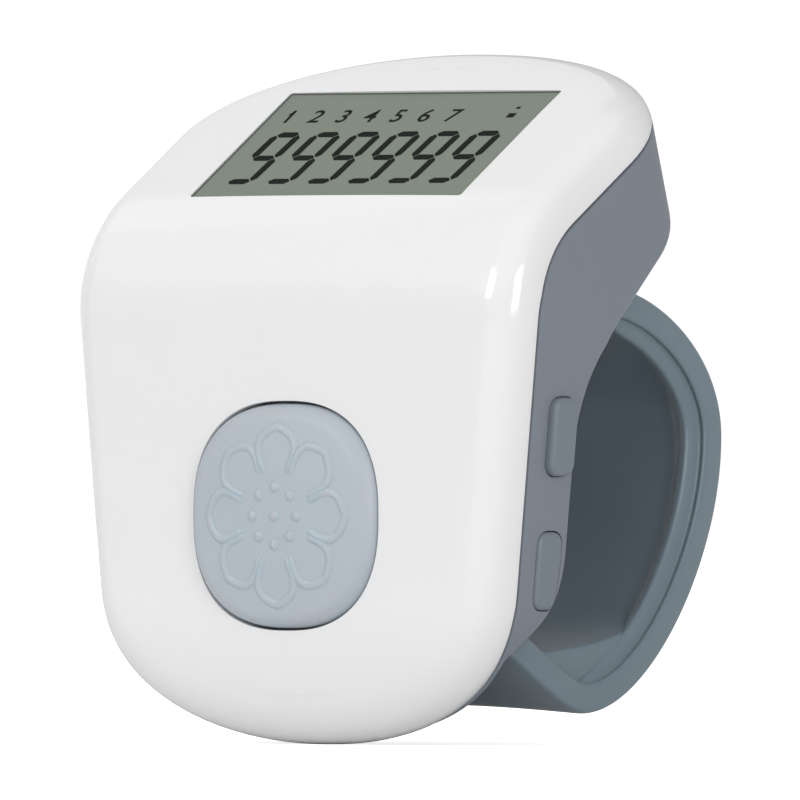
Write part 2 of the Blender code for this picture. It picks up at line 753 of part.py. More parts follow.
def make_display():
    lens_width = WINDOW_WIDTH + 2 * WINDOW_LEDGE
    lens_length = WINDOW_LENGTH + 2 * WINDOW_LEDGE
    window = rounded(WINDOW_WIDTH, WINDOW_LENGTH, WINDOW_CORNER, 0.0, WINDOW_RUN)
    tool = extruded("window_cut", window, -SEAM, COVER_FACE + CLEAR, WHITE, UPPER_PANEL)
    cut(cover, tool)
    pocket = box_outline(lens_width + 2 * SEAT, lens_length + 2 * SEAT, 0.0, WINDOW_RUN)
    tool = extruded("lens_pocket", pocket, GLASS_TOP - CLEAR, LENS_TOP + SEAT, WHITE, UPPER_PANEL)
    cut(cover, tool)
    seat = rounded(lens_width, lens_length, WINDOW_CORNER + SEAT, 0.0, WINDOW_RUN)
    lens = extruded("window_lens", seat, LENS_LOW, LENS_TOP, CLEAR_PLASTIC, UPPER_PANEL)
    raised = rounded(
        WINDOW_WIDTH - 2 * SEAT, WINDOW_LENGTH - 2 * SEAT, WINDOW_CORNER - SEAT, 0.0, WINDOW_RUN
    )
    lens_face = COVER_RISE - WINDOW_STEP
    tool = extruded("lens_step", raised, LENS_LOW + SEAT, lens_face, CLEAR_PLASTIC, UPPER_PANEL)
    join(lens, tool)
    glass_width = WINDOW_WIDTH + 2 * GLASS_BORDER
    glass_length = WINDOW_LENGTH + 2 * GLASS_BORDER
    front = box_outline(glass_width, glass_length, 0.0, WINDOW_RUN)
    extruded("display_front_glass", front, GLASS_TOP - GLASS_THICK, GLASS_TOP, GLASS, UPPER_PANEL)
    rear_run = WINDOW_RUN - GLASS_LEDGE / 2
    rear = box_outline(glass_width, glass_length + GLASS_LEDGE, 0.0, rear_run)
    extruded("display_rear_glass", rear, REAR_TOP - GLASS_THICK, REAR_TOP, GLASS, UPPER_PANEL)
    film_low = REFLECTOR_TOP - REFLECTOR_THICK
    extruded("display_reflector", front, film_low, REFLECTOR_TOP, REFLECTOR, UPPER_PANEL)
    rim_width = glass_width + 2 * (SEAT + FRAME_RIM)
    rim_high_run = WINDOW_RUN + glass_length / 2 + SEAT + FRAME_RIM
    rim_low_run = WINDOW_RUN - glass_length / 2 - GLASS_LEDGE - SEAT - FRAME_RIM
    rim_run = (rim_high_run + rim_low_run) / 2
    tray = box_outline(rim_width, rim_high_run - rim_low_run, 0.0, rim_run)
    carrier = extruded("display_frame", tray, FRAME_LOW, REAR_TOP - CLEAR, INNER_WHITE, UPPER_PANEL)
    well = box_outline(glass_width + 2 * SEAT, rim_high_run - rim_low_run - 2 * FRAME_RIM, 0.0, rim_run)
    tool = extruded("display_well", well, FRAME_TOP, GLASS_TOP + CLEAR, INNER_WHITE, UPPER_PANEL)
    cut(carrier, tool)
    mouth = box_outline(RIBBON_WIDTH + 2 * CLEAR, 2 * FRAME_RIM + 2 * GLASS_LEDGE, 0.0, rim_low_run)
    tool = extruded("ribbon_mouth", mouth, FRAME_LOW - CLEAR, GLASS_TOP + CLEAR, INNER_WHITE, UPPER_PANEL)
    cut(carrier, tool)


make_display()


# Board, chip and ribbon


def make_board():
    middle = (BOARD_LOW + BOARD_HIGH) / 2
    outline = rounded(BOARD_WIDTH, BOARD_HIGH - BOARD_LOW, BOARD_CORNER, 0.0, middle)
    board = extruded("main_board", outline, -BOARD_FACE - BOARD_THICK, -BOARD_FACE, BOARD_GREEN, LOWER_PANEL)
    floor = -(SADDLE_DEPTH - HOUSING_WALL)
    shoulder = -BOARD_FACE - BOARD_THICK - SEAT
    for name, x, z in (
        ("low_left", -PEG_X, PEG_LOW_Z),
        ("low_right", PEG_X, PEG_LOW_Z),
        ("high_left", -PEG_X, PEG_HIGH_Z),
        ("high_right", PEG_X, PEG_HIGH_Z),
    ):
        hole = circle(PEG_RADIUS + SEAT, 16, x, z)
        cut(
            board,
            extruded(f"peg_hole_{name}", hole, shoulder - CLEAR, CLEAR, BOARD_GREEN, LOWER_PANEL),
        )
        stand = circle(2 * PEG_RADIUS, 16, x, z)
        low = floor - HOUSING_WALL / 2
        join(housing, extruded(f"stand_{name}", stand, low, shoulder, GREY, LOWER_PANEL))
        peg = circle(PEG_RADIUS, 16, x, z)
        join(housing, extruded(f"peg_{name}", peg, low, -BOARD_FACE + SEAT, GREY, LOWER_PANEL))


def make_chip():
    sections = []
    for share in (0.0, 0.35, 0.7, 0.93):
        radius = CHIP_RADIUS * math.sqrt(1 - share**2)
        level = -BOARD_FACE + SEAT + CHIP_HEIGHT * share
        sections.append([(x, y, level) for x, y in circle(radius, 20, CHIP_X, CHIP_Z)])
    lofted("driver_chip", sections, RESIN, LOWER_PANEL)


def swept_strip(name, path, width, thick, finish):
    """A flat strip along a path of (y, z) points, seen from the side."""
    sections = []
    for k, (y, z) in enumerate(path):
        y0, z0 = path[max(k - 1, 0)]
        y1, z1 = path[min(k + 1, len(path) - 1)]
        length = math.hypot(y1 - y0, z1 - z0)
        off_y, off_z = (z1 - z0) / length * thick / 2, -(y1 - y0) / length * thick / 2
        sections.append(
            [
                (-width / 2, y - off_y, z - off_z),
                (width / 2, y - off_y, z - off_z),
                (width / 2, y + off_y, z + off_z),
                (-width / 2, y + off_y, z + off_z),
            ]
        )
    return lofted(name, sections, finish)


def upper_point(run, level):
    """The (y, z) place of a run and a level on the upper panel."""
    point = UPPER_PANEL.matrix_world @ Vector((0.0, run, level))
    return point.y, point.z


def make_ribbon():
    """From the board's face round the bend to the ledge of the rear glass."""
    ledge_end = WINDOW_RUN - WINDOW_LENGTH / 2 - GLASS_BORDER
    level = REAR_TOP + SEAT / 2 + RIBBON_THICK / 2
    start = (BOARD_FACE - SEAT - RIBBON_THICK / 2, BOARD_HIGH - RIBBON_ON_BOARD)
    lift = (start[0], BOARD_HIGH)
    land = upper_point(ledge_end - GLASS_LEDGE, level)
    end = upper_point(ledge_end - 2 * CLEAR, level)
    away = upper_point(ledge_end - GLASS_LEDGE - RIBBON_TURN, level - RIBBON_TURN)
    path = [start, lift] + cubic(lift, (lift[0], lift[1] + RIBBON_RISE), away, land, 8) + [end]
    swept_strip("display_ribbon", path, RIBBON_WIDTH, RIBBON_THICK, RIBBON)


make_board()
make_chip()
make_ribbon()


# Switches on the board


def make_count_switch():
    top = -BOARD_FACE + SEAT + SWITCH_HEIGHT
    outline = rounded(SWITCH_SIDE, SWITCH_SIDE, SWITCH_CORNER, 0.0, BUTTON_HEIGHT_Z, steps=2)
    body = extruded("count_switch", outline, -BOARD_FACE + SEAT, top, SWITCH_BLACK, LOWER_PANEL)
    well = circle(SWITCH_WELL, 20, 0.0, BUTTON_HEIGHT_Z)
    cut(body, extruded("count_well", well, -BOARD_FACE, top + CLEAR, SWITCH_BLACK, LOWER_PANEL))
    low = top - (SWITCH_HEIGHT - BUTTON_TRAVEL - SEAT)
    disc = circle(PLUNGER_RADIUS, 20)
    plunger = extruded("count_switch_plunger", disc, low, STEM_END - SEAT, STEEL, LOWER_PANEL)
    plunger.location = (0.0, BUTTON_HEIGHT_Z, 0.0)


make_count_switch()


# Side buttons with their switches


TAPER_TILT = math.atan((HALF_WIDTH - LOW_HALF_WIDTH) / (TAPER_END - LOW_CORNER))


def side_frame(name, height, depth):
    """A frame on the right wall, with Z out of the wall, X down and Y towards the finger side."""
    run = CURL_RUN + height - CURL_TOP
    turn = Matrix.Rotation(math.pi / 2 + TAPER_TILT, 4, "Y")
    return empty(name, Matrix.Translation((half_width(run), depth, height)) @ turn)


def make_side_button(label, height, depth, proud, sweep):
    """A cap in a pocket of the side wall, a stem through the wall and a flange behind it."""
    seat = side_frame(f"{label}_seat", height, depth)
    hole = rounded(
        SIDE_BUTTON_LENGTH + 2 * SIDE_BUTTON_GAP,
        SIDE_BUTTON_WIDTH + 2 * SIDE_BUTTON_GAP,
        SIDE_BUTTON_CORNER + SIDE_BUTTON_GAP,
        sweep=sweep,
    )
    cut(housing, extruded(f"{label}_pocket", hole, -SIDE_POCKET, 3 * CLEAR, GREY, seat))
    sections = []
    for shrink, level in (
        (0.0, -SIDE_CAP_INSIDE),
        (0.0, proud - SIDE_SHOULDER),
        (0.3 * SIDE_SHOULDER, proud - 0.3 * SIDE_SHOULDER),
        (SIDE_SHOULDER, proud),
    ):
        outline = rounded(
            SIDE_BUTTON_LENGTH - 2 * shrink,
            SIDE_BUTTON_WIDTH - 2 * shrink,
            SIDE_BUTTON_CORNER - shrink,
            sweep=sweep,
        )
        sections.append([(x, y, level) for x, y in outline])
    button = lofted(f"{label}_button", sections, SIDE_GREY, seat)
    switch_axis = BOARD_FACE - SEAT - SIDE_SWITCH_HEIGHT / 2
    wall_inside = -HOUSING_WALL - CLEAR
    stem_end = SIDE_BUTTON_LENGTH / 2 - SIDE_BUTTON_CORNER / 2
    stem_front = SIDE_BUTTON_WIDTH / 2 - SEAT
    stem = [
        (-stem_end, SIDE_BUTTON_INSIDE),
        (-stem_end, -stem_front),
        (0.7 * stem_end, -stem_front),
        (0.0, SIDE_BUTTON_INSIDE),
    ]
    stem_top = -SIDE_CAP_INSIDE + SEAT
    join(button, extruded(f"{label}_stem", stem, wall_inside - SEAT, stem_top, SIDE_GREY, seat))
    front = depth - switch_axis + SIDE_PLUNGER_RADIUS + SEAT
    end = SIDE_BUTTON_LENGTH / 2 + SIDE_BUTTON_GAP + SIDE_FLANGE_OVERLAP
    flange = [
        (-end, SIDE_BUTTON_INSIDE),
        (-end, -front),
        (end, -front),
        (end, -SIDE_BUTTON_WIDTH * 0.58),
        (0.5 * end, -SIDE_BUTTON_WIDTH * 0.22),
        (0.0, SIDE_BUTTON_INSIDE),
    ]
    back = wall_inside - SIDE_FLANGE_THICK
    join(button, extruded(f"{label}_flange", flange, back, wall_inside, SIDE_GREY, seat))
    make_side_switch(label, seat, height, back, switch_axis - depth)


def make_side_switch(label, seat, height, back, rise):
    """The switch lies on the board's face and points its plunger at the button's back."""
    level = BOARD_FACE - SEAT - SIDE_SWITCH_HEIGHT / 2
    body_front = back - SEAT - SIDE_TRAVEL - CLEAR
    start = seat.matrix_world @ Vector((0.0, rise, back - SEAT))
    face = seat.matrix_world @ Vector((0.0, rise, body_front))
    turned = Matrix.Rotation(math.pi / 2, 4, "Y")
    hold = empty(f"{label}_switch_place", Matrix.Translation((face.x, level, height)) @ turned)
    outline = box_outline(SIDE_SWITCH_WIDTH, SIDE_SWITCH_HEIGHT)
    body = extruded(f"{label}_switch", outline, -SIDE_SWITCH_DEPTH, 0.0, SWITCH_BLACK, hold)
    inside = SIDE_PLUNGER_INSIDE + SIDE_TRAVEL + CLEAR
    well = circle(SIDE_PLUNGER_RADIUS + SEAT, 12)
    cut(body, extruded(f"{label}_well", well, -inside, CLEAR, SWITCH_BLACK, hold))
    pin = circle(SIDE_PLUNGER_RADIUS, 12)
    tip = start.x - face.x - SEAT
    extruded(f"{label}_switch_plunger", pin, -SIDE_PLUNGER_INSIDE, tip, STEEL, hold)


make_side_button("upper_side", UPPER_SIDE_Z, SIDE_BUTTON_DEPTH, UPPER_SIDE_PROUD, 0.0)
make_side_button(
    "lower_side",
    LOWER_SIDE_Z,
    SIDE_BUTTON_DEPTH - LOWER_SIDE_FORWARD,
    LOWER_SIDE_PROUD,
    LOWER_SIDE_SWEEP,
)


# Case screws, each in a post under the cover


def make_screw(name, x, y, parent, post_length):
    """Z of the parent points out of the wall that the head sinks into."""
    boss = circle(POST_RADIUS + SCREW_CLEAR, 20, x, y)
    boss_low = -HOUSING_WALL - BOSS_HEIGHT
    join(housing, extruded(f"{name}_boss", boss, boss_low, -HOUSING_WALL / 2, GREY, parent))
    recess = circle(SCREW_HEAD_RADIUS + SCREW_CLEAR / 2, 20, x, y)
    recess_low = -SCREW_SINK - SCREW_HEAD - SEAT
    cut(housing, extruded(f"{name}_recess", recess, recess_low, CLEAR, GREY, parent))
    passage = circle(SCREW_RADIUS + SCREW_CLEAR, 16, x, y)
    cut(housing, extruded(f"{name}_passage", passage, boss_low - CLEAR, CLEAR, GREY, parent))
    post_top = boss_low - SEAT
    post = circle(POST_RADIUS, 20, x, y)
    join(cover, extruded(f"{name}_post", post, post_top - post_length, post_top, WHITE, parent))
    bite_end = post_top - SCREW_BITE
    pilot = circle(SCREW_RADIUS + SEAT, 16, x, y)
    cut(cover, extruded(f"{name}_pilot", pilot, bite_end - CLEAR, post_top + CLEAR, WHITE, parent))
    sections = []
    for radius, level in (
        (SCREW_RADIUS * 0.6, bite_end),
        (SCREW_RADIUS, bite_end + SCREW_RADIUS),
        (SCREW_RADIUS, recess_low + SEAT),
        (SCREW_HEAD_RADIUS, recess_low + SEAT),
        (SCREW_HEAD_RADIUS, -SCREW_SINK - SCREW_HEAD * 0.3),
        (SCREW_HEAD_RADIUS * 0.75, -SCREW_SINK),
    ):
        sections.append([(px, py, level) for px, py in circle(radius, 16)])
    screw = lofted(name, sections, STEEL, parent)
    screw.location = (x, y, 0.0)
    slot_length = SCREW_HEAD_RADIUS * 1.3
    slot_low = -SCREW_SINK - SCREW_HEAD * 0.5
    for kind, size in (("slot", (slot_length, SCREW_SLOT)), ("cross", (SCREW_SLOT, slot_length))):
        tool = extruded(f"{name}_{kind}", box_outline(*size), slot_low, CLEAR, STEEL, parent)
        tool.location = (x, y, 0.0)
        cut(screw, tool)


def make_screws():
    low_length = SADDLE_DEPTH - HOUSING_WALL - BOSS_HEIGHT + COVER_INSIDE - COVER_CROWN
    for name, side in (("case_screw_low_left", -1), ("case_screw_low_right", 1)):
        make_screw(name, side * SCREW_X, -SCREW_Z, SADDLE, low_length + COVER_WALL / 2)
    offset = -(TOP_SCREW_FROM_END - BAY_FROM_END)
    run = UPPER_LENGTH - TOP_SCREW_FROM_END
    y, z = slope_point(TOP_SCREW_FROM_END)
    inner_y, inner_z = upper_point(run, COVER_RISE - COVER_WALL / 2)
    reach = (y - inner_y) * math.sin(SLOPE_ANGLE) + (inner_z - z) * math.cos(SLOPE_ANGLE)
    for name, side in (("case_screw_top_left", -1), ("case_screw_top_right", 1)):
        make_screw(name, side * TOP_SCREW_X, -offset, BAY, reach - HOUSING_WALL - BOSS_HEIGHT - SEAT)


make_screws()


# Where the strap goes, which the battery wires keep clear of


def slope_depth(z):
    """Y of the slope at this height."""
    return SLOPE_END[0] - (SLOPE_END[1] - z) / math.tan(SLOPE_ANGLE)


STRAP_TOP_Z = slope_point(STRAP_FROM_END)[1]
STRAP_APEX = (
    SADDLE_DEPTH + STRAP_REACH,
    STRAP_FOOT[1] + (STRAP_TOP_Z - STRAP_FOOT[1]) * STRAP_APEX_SHARE,
)
BAR_Z = STRAP_TOP_Z - STRAP_THICK / 2
BAR_Y = slope_depth(BAR_Z) - (HOUSING_WALL + SEAT + STRAP_BAR_RADIUS) / math.sin(SLOPE_ANGLE)


# Battery bay


def make_battery():
    door_outline = rounded(DOOR_WIDTH, DOOR_LENGTH, DOOR_CORNER, DOOR_X, 0.0)
    recess = rounded(
        DOOR_WIDTH + 2 * DOOR_GAP, DOOR_LENGTH + 2 * DOOR_GAP, DOOR_CORNER + DOOR_GAP, DOOR_X, 0.0
    )
    cut(housing, extruded("door_recess", recess, -DOOR_THICK - SEAT, CLEAR, GREY, BAY))
    cup = circle(CELL_RADIUS + BAY_GAP + CUP_WALL, 32, CELL_X, 0.0)
    join(housing, extruded("cell_cup", cup, -CUP_DEPTH, -DOOR_THICK - 2 * SEAT, GREY, BAY))
    bay = circle(CELL_RADIUS + BAY_GAP, 32, CELL_X, 0.0)
    cut(housing, extruded("cell_bay", bay, -CUP_DEPTH - CLEAR, CLEAR, GREY, BAY))
    door = extruded("battery_door", door_outline, -DOOR_THICK, 0.0, GREY, BAY)
    sink = circle(SCREW_HEAD_RADIUS + SCREW_CLEAR / 2, 20, DOOR_SCREW_X, 0.0)
    cut(door, extruded("door_screw_sink", sink, -DOOR_THICK * 0.6, CLEAR, GREY, BAY))
    passage = circle(SCREW_RADIUS + SCREW_CLEAR, 16, DOOR_SCREW_X, 0.0)
    cut(door, extruded("door_screw_hole", passage, -2 * DOOR_THICK, CLEAR, GREY, BAY))
    boss = circle(POST_RADIUS, 20, DOOR_SCREW_X, 0.0)
    boss_low = -DOOR_THICK - DOOR_BOSS
    join(housing, extruded("door_screw_boss", boss, boss_low, -DOOR_THICK - 2 * SEAT, GREY, BAY))
    pilot = circle(SCREW_RADIUS + SEAT, 16, DOOR_SCREW_X, 0.0)
    cut(housing, extruded("door_screw_pilot", pilot, boss_low - CLEAR, 0.0, GREY, BAY))
    sections = []
    head_low = -DOOR_THICK * 0.6 + SEAT
    for radius, level in (
        (SCREW_RADIUS * 0.6, boss_low + CLEAR),
        (SCREW_RADIUS, boss_low + CLEAR + SCREW_RADIUS),
        (SCREW_RADIUS, head_low),
        (SCREW_HEAD_RADIUS, head_low),
        (SCREW_HEAD_RADIUS, -SEAT * 1.5),
        (SCREW_HEAD_RADIUS * 0.8, -SEAT / 2),
    ):
        sections.append([(x, y, level) for x, y in circle(radius, 16)])
    screw = lofted("battery_door_screw", sections, STEEL, BAY)
    screw.location = (DOOR_SCREW_X, 0.0, 0.0)
    cell_low = -DOOR_THICK - SEAT
    sections = []
    for radius, level in (
        (CELL_RADIUS - CELL_RIM, cell_low - CELL_HEIGHT),
        (CELL_RADIUS - CELL_RIM, cell_low - CELL_HEIGHT + CELL_RIM),
        (CELL_RADIUS, cell_low - CELL_HEIGHT + 2 * CELL_RIM),
        (CELL_RADIUS, cell_low - CELL_RIM),
        (CELL_RADIUS - CELL_RIM, cell_low),
    ):
        sections.append([(x, y, level) for x, y in circle(radius, 32, CELL_X, 0.0)])
    lofted("button_cell", sections, CELL_STEEL, BAY)
    contact_top = cell_low - CELL_HEIGHT - SEAT / 2
    leaf = rounded(LEAF_LENGTH, CLIP_WIDTH, LEAF_CORNER, CELL_X - LEAF_OFFSET, 0.0)
    extruded("battery_minus_contact", leaf, contact_top - CONTACT_THICK, contact_top, STEEL, BAY)
    make_plus_contact(cell_low)
    return contact_top - CONTACT_THICK


def make_plus_contact(cell_low):
    """A strip up the cell's side, in a notch of the cup, with a foot for its wire."""
    near = CELL_X + CELL_RADIUS + SEAT
    deep = cell_low - CELL_HEIGHT - SEAT
    notch = box_outline(3 * CUP_WALL, CLIP_WIDTH + 2 * SEAT, near + CUP_WALL, 0.0)
    cut(housing, extruded("clip_notch", notch, -CUP_DEPTH - CLEAR, -HOUSING_WALL - SEAT, GREY, BAY))
    side = box_outline(CONTACT_THICK, CLIP_WIDTH, near + CONTACT_THICK / 2, 0.0)
    strip = extruded("battery_plus_contact", side, deep, -HOUSING_WALL - 2 * SEAT, STEEL, BAY)
    foot = box_outline(FOOT_LENGTH, CLIP_WIDTH, near + FOOT_LENGTH / 2, 0.0)
    join(strip, extruded("plus_foot", foot, deep, deep + CONTACT_THICK, STEEL, BAY))


def make_wire(name, start, middle, end, finish):
    """A round wire through the case on a smooth curve."""
    curve = bpy.data.curves.new(name, "CURVE")
    curve.dimensions = "3D"
    curve.bevel_depth = WIRE_RADIUS
    curve.bevel_resolution = 1
    curve.use_fill_caps = True
    knots = [start] + middle + [end]
    points = []
    for k in range(len(knots) - 1):
        before, here = Vector(knots[max(k - 1, 0)]), Vector(knots[k])
        there, after = Vector(knots[k + 1]), Vector(knots[min(k + 2, len(knots) - 1)])
        for step in range(WIRE_STEPS):
            t = step / WIRE_STEPS
            bend = (there - before) * (t - 2 * t * t + t**3) + (after - here) * (t**3 - t * t)
            points.append(here * (1 - 3 * t * t + 2 * t**3) + there * (3 * t * t - 2 * t**3) + bend / 2)
    points.append(Vector(knots[-1]))
    line = curve.splines.new("POLY")
    line.points.add(len(points) - 1)
    for spot, point in zip(line.points, points):
        spot.co = (*point, 1.0)
    curve.materials.append(finish)
    wire = bpy.data.objects.new(name, curve)
    bpy.context.collection.objects.link(wire)


def make_wires(leaf_low):
    """From the two contacts, in front of the strap's upper bar, to the board's face."""
    board_y = BOARD_FACE - SEAT - WIRE_RADIUS
    bay = BAY.matrix_world
    minus_x = CELL_X - LEAF_OFFSET - LEAF_LENGTH / 2 + 2 * WIRE_RADIUS
    plus_x = CELL_X + CELL_RADIUS + SEAT + FOOT_LENGTH - 2 * WIRE_RADIUS
    for name, x, finish, turn in (
        ("battery_wire_minus", minus_x, BLACK_WIRE, -WIRE_X),
        ("battery_wire_plus", plus_x, RED_WIRE, WIRE_X),
    ):
        first = bay @ Vector((x, -CLIP_WIDTH / 4, leaf_low - SEAT - WIRE_RADIUS))
        second = bay @ Vector((x, CLIP_WIDTH, leaf_low - SEAT - WIRE_RADIUS))
        over_bar = ((x + turn) / 2, BAR_Y - 0.3 * WIRE_OFF_BAR, BAR_Z + 0.95 * WIRE_OFF_BAR)
        middle = [tuple(second), over_bar, (turn, BAR_Y - WIRE_OFF_BAR, BAR_Z)]
        middle.append((turn, board_y, BOARD_HIGH + 3 * WIRE_RADIUS))
        make_wire(name, tuple(first), middle, (turn, board_y, BOARD_HIGH - 2 * WIRE_RADIUS), finish)


LEAF_LOW = make_battery()
make_wires(LEAF_LOW)


# Strap


def chin_point(along, inside):
    """A place on the chin, up it from the foot of its arc, and inside its face."""
    chin_turn = math.pi / 2 - CHIN_ANGLE
    centre_z = CHIN_HEIGHT + CHIN_RADIUS * math.tan(chin_turn / 2)
    foot = (
        SADDLE_DEPTH - CHIN_RADIUS * (1 - math.cos(chin_turn)),
        centre_z - CHIN_RADIUS * math.sin(chin_turn),
    )
    return (
        foot[0] + along * math.cos(CHIN_ANGLE) - inside * math.sin(CHIN_ANGLE),
        foot[1] + along * math.sin(CHIN_ANGLE) + inside * math.cos(CHIN_ANGLE),
    )


def strap_path():
    """The strap's outer face seen from the side, from its upper bar round the finger to its head."""
    top_face = slope_depth(STRAP_TOP_Z) + SEAT
    top = [(BAR_Y, STRAP_TOP_Z), (top_face, STRAP_TOP_Z), (top_face + SEAT, STRAP_TOP_Z)]
    way = (math.cos(STRAP_LEAN), -math.sin(STRAP_LEAN))
    middle = chin_point(STRAP_ROOT_UP, 0.0)
    under = (-way[1] * STRAP_THICK / 2, way[0] * STRAP_THICK / 2)
    root = (middle[0] - under[0], middle[1] - under[1])

    def out(distance):
        return root[0] + distance * way[0], root[1] + distance * way[1]

    inside = -(HOUSING_WALL + SEAT + STRAP_HEAD_THICK / 2)
    foot_y, foot_z = STRAP_FOOT
    apex_y = STRAP_APEX[0]
    points = top + cubic(
        top[-1],
        (apex_y - STRAP_CORNER_IN, STRAP_TOP_Z),
        (apex_y, STRAP_TOP_Z - STRAP_CORNER_DOWN),
        STRAP_APEX,
        STRAP_STEPS,
    )
    points += cubic(
        STRAP_APEX,
        (apex_y, foot_z + STRAP_LOW_CORNER_UP),
        (apex_y - STRAP_LOW_CORNER_IN, foot_z),
        STRAP_FOOT,
        STRAP_STEPS,
    )
    points += cubic(
        STRAP_FOOT,
        (foot_y - STRAP_ROOT_BEND, foot_z),
        out(STRAP_ROOT_STRAIGHT + STRAP_ROOT_BEND),
        out(STRAP_ROOT_STRAIGHT),
        4,
    )
    points += [out(STRAP_ROOT_STRAIGHT / 2), out(4 * SEAT), out(3 * SEAT), out(inside)]
    return points


def strap_section(half, thick, bead, dip, skip):
    """Half the band's section, from its middle outside to its middle inside, as (x, depth)."""
    reach = STRAP_BEAD_REACH
    shape = [
        (0.0, dip),
        (half * 0.55, dip * 0.75),
        (half - 0.5 * reach, 0.1 * dip),
        (half - STRAP_EDGE, 0.0),
        (half, STRAP_EDGE),
        (half, thick * 0.85),
        (half - 0.12 * reach, thick),
        (half - 0.2 * reach, thick + 0.05 * bead),
        (half - 0.25 * reach, thick + 0.65 * bead),
        (half - 0.43 * reach, thick + bead),
        (half - 0.67 * reach, thick + 0.75 * bead),
        (half - reach, thick + 0.1 * bead),
        (half * 0.5, thick),
        (0.0, thick),
    ]
    return [(x, skip + depth) for x, depth in shape]


def make_strap():
    path = strap_path()
    last = len(path) - 1
    lengths = [0.0]
    for (y0, z0), (y1, z1) in zip(path, path[1:]):
        lengths.append(lengths[-1] + math.hypot(y1 - y0, z1 - z0))
    sections = []
    for k, (y, z) in enumerate(path):
        y0, z0 = path[max(k - 1, 0)]
        y1, z1 = path[min(k + 1, last)]
        length = math.hypot(y1 - y0, z1 - z0)
        in_y, in_z = (z1 - z0) / length, -(y1 - y0) / length
        share = smooth_step(min(lengths[k] - lengths[2], lengths[last - 2] - lengths[k]) / STRAP_SHOULDER)
        half = STRAP_ROOT_HALF_WIDTH + (STRAP_HALF_WIDTH - STRAP_ROOT_HALF_WIDTH) * share
        thick, skip = STRAP_THICK, 0.0
        if k < 2 or k > last - 2:
            half = STRAP_TOP_TAB if k < 2 else STRAP_LOW_TAB
            thick = STRAP_TAB_THICK
            skip = (STRAP_THICK - STRAP_TAB_THICK) / 2
        bead = STRAP_BEAD * max(share, STRAP_LEAST_BEAD)
        right = strap_section(half, thick, bead, STRAP_DIP * share, skip)
        loop = right + [(-x, depth) for x, depth in right[-2:0:-1]]
        sections.append([(x, y + in_y * depth, z + in_z * depth) for x, depth in loop])
    strap = lofted("finger_strap", sections, SILICONE)
    across = Matrix.Rotation(math.pi / 2, 4, "Y")
    slot_width = STRAP_TAB_THICK + 2 * STRAP_SLOT_GAP
    slot = box_outline(slot_width, STRAP_SLOT_REACH)
    bar_place = empty("strap_bar_place", Matrix.Translation((0.0, BAR_Y, BAR_Z)) @ across)
    bar_half = STRAP_TOP_TAB - SEAT
    join(strap, extruded("strap_bar", circle(STRAP_BAR_RADIUS, 16), -bar_half, bar_half, SILICONE, bar_place))
    slot_high = STRAP_TOP_TAB + STRAP_SLOT_GAP
    slot_place = Matrix.Translation((0.0, slope_depth(BAR_Z), BAR_Z)) @ across
    slot_place = empty("strap_top_slot_place", slot_place)
    cut(housing, extruded("strap_top_slot", slot, -slot_high, slot_high, GREY, slot_place))
    head_y, head_z = chin_point(STRAP_ROOT_UP, HOUSING_WALL + SEAT + STRAP_HEAD_THICK / 2)
    head_turn = Matrix.Rotation(CHIN_ANGLE, 4, "X") @ across
    head_place = empty("strap_head_place", Matrix.Translation((0.0, head_y, head_z)) @ head_turn)
    head_length = STRAP_HEAD_ABOVE + STRAP_HEAD_BELOW
    head = box_outline(STRAP_HEAD_THICK, head_length, 0.0, (STRAP_HEAD_ABOVE - STRAP_HEAD_BELOW) / 2)
    head_half = STRAP_LOW_TAB - SEAT
    join(strap, extruded("strap_head", head, -head_half, head_half, SILICONE, head_place))
    slot_low = STRAP_LOW_TAB + STRAP_SLOT_GAP
    low_turn = Matrix.Rotation(-STRAP_LEAN, 4, "X") @ across
    low_place = Matrix.Translation((0.0, *chin_point(STRAP_ROOT_UP, 0.0))) @ low_turn
    low_place = empty("strap_low_slot_place", low_place)
    low_slot = box_outline(slot_width, 3 * HOUSING_WALL)
    cut(housing, extruded("strap_low_slot", low_slot, -slot_low, slot_low, GREY, low_place))


make_strap()


# The origin, in the middle of the loop that the finger goes through


def set_origin():
    loop_depth = (SADDLE_DEPTH + STRAP_APEX[0] - STRAP_THICK - STRAP_BEAD) / 2
    loop_height = (STRAP_FOOT[1] + STRAP_TOP_Z) / 2
    loose = [thing for thing in bpy.data.objects if thing.parent is None]
    datum = empty("finger_loop_centre", Matrix.Translation((0.0, -loop_depth, -loop_height)))
    for thing in loose:
        thing.parent = datum


set_origin()
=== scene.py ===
"""The looks of a digital finger counter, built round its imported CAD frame.

The case is drawn as the part is: along a spine, which is the seam of cover and housing seen from
the side. A place in the case is (x, run, level): x across, run along the spine, level out of it.
"""

from math import atan, copysign, cos, hypot, pi, radians, sin, tan

import bmesh
import bpy
from mathutils import Matrix, Vector


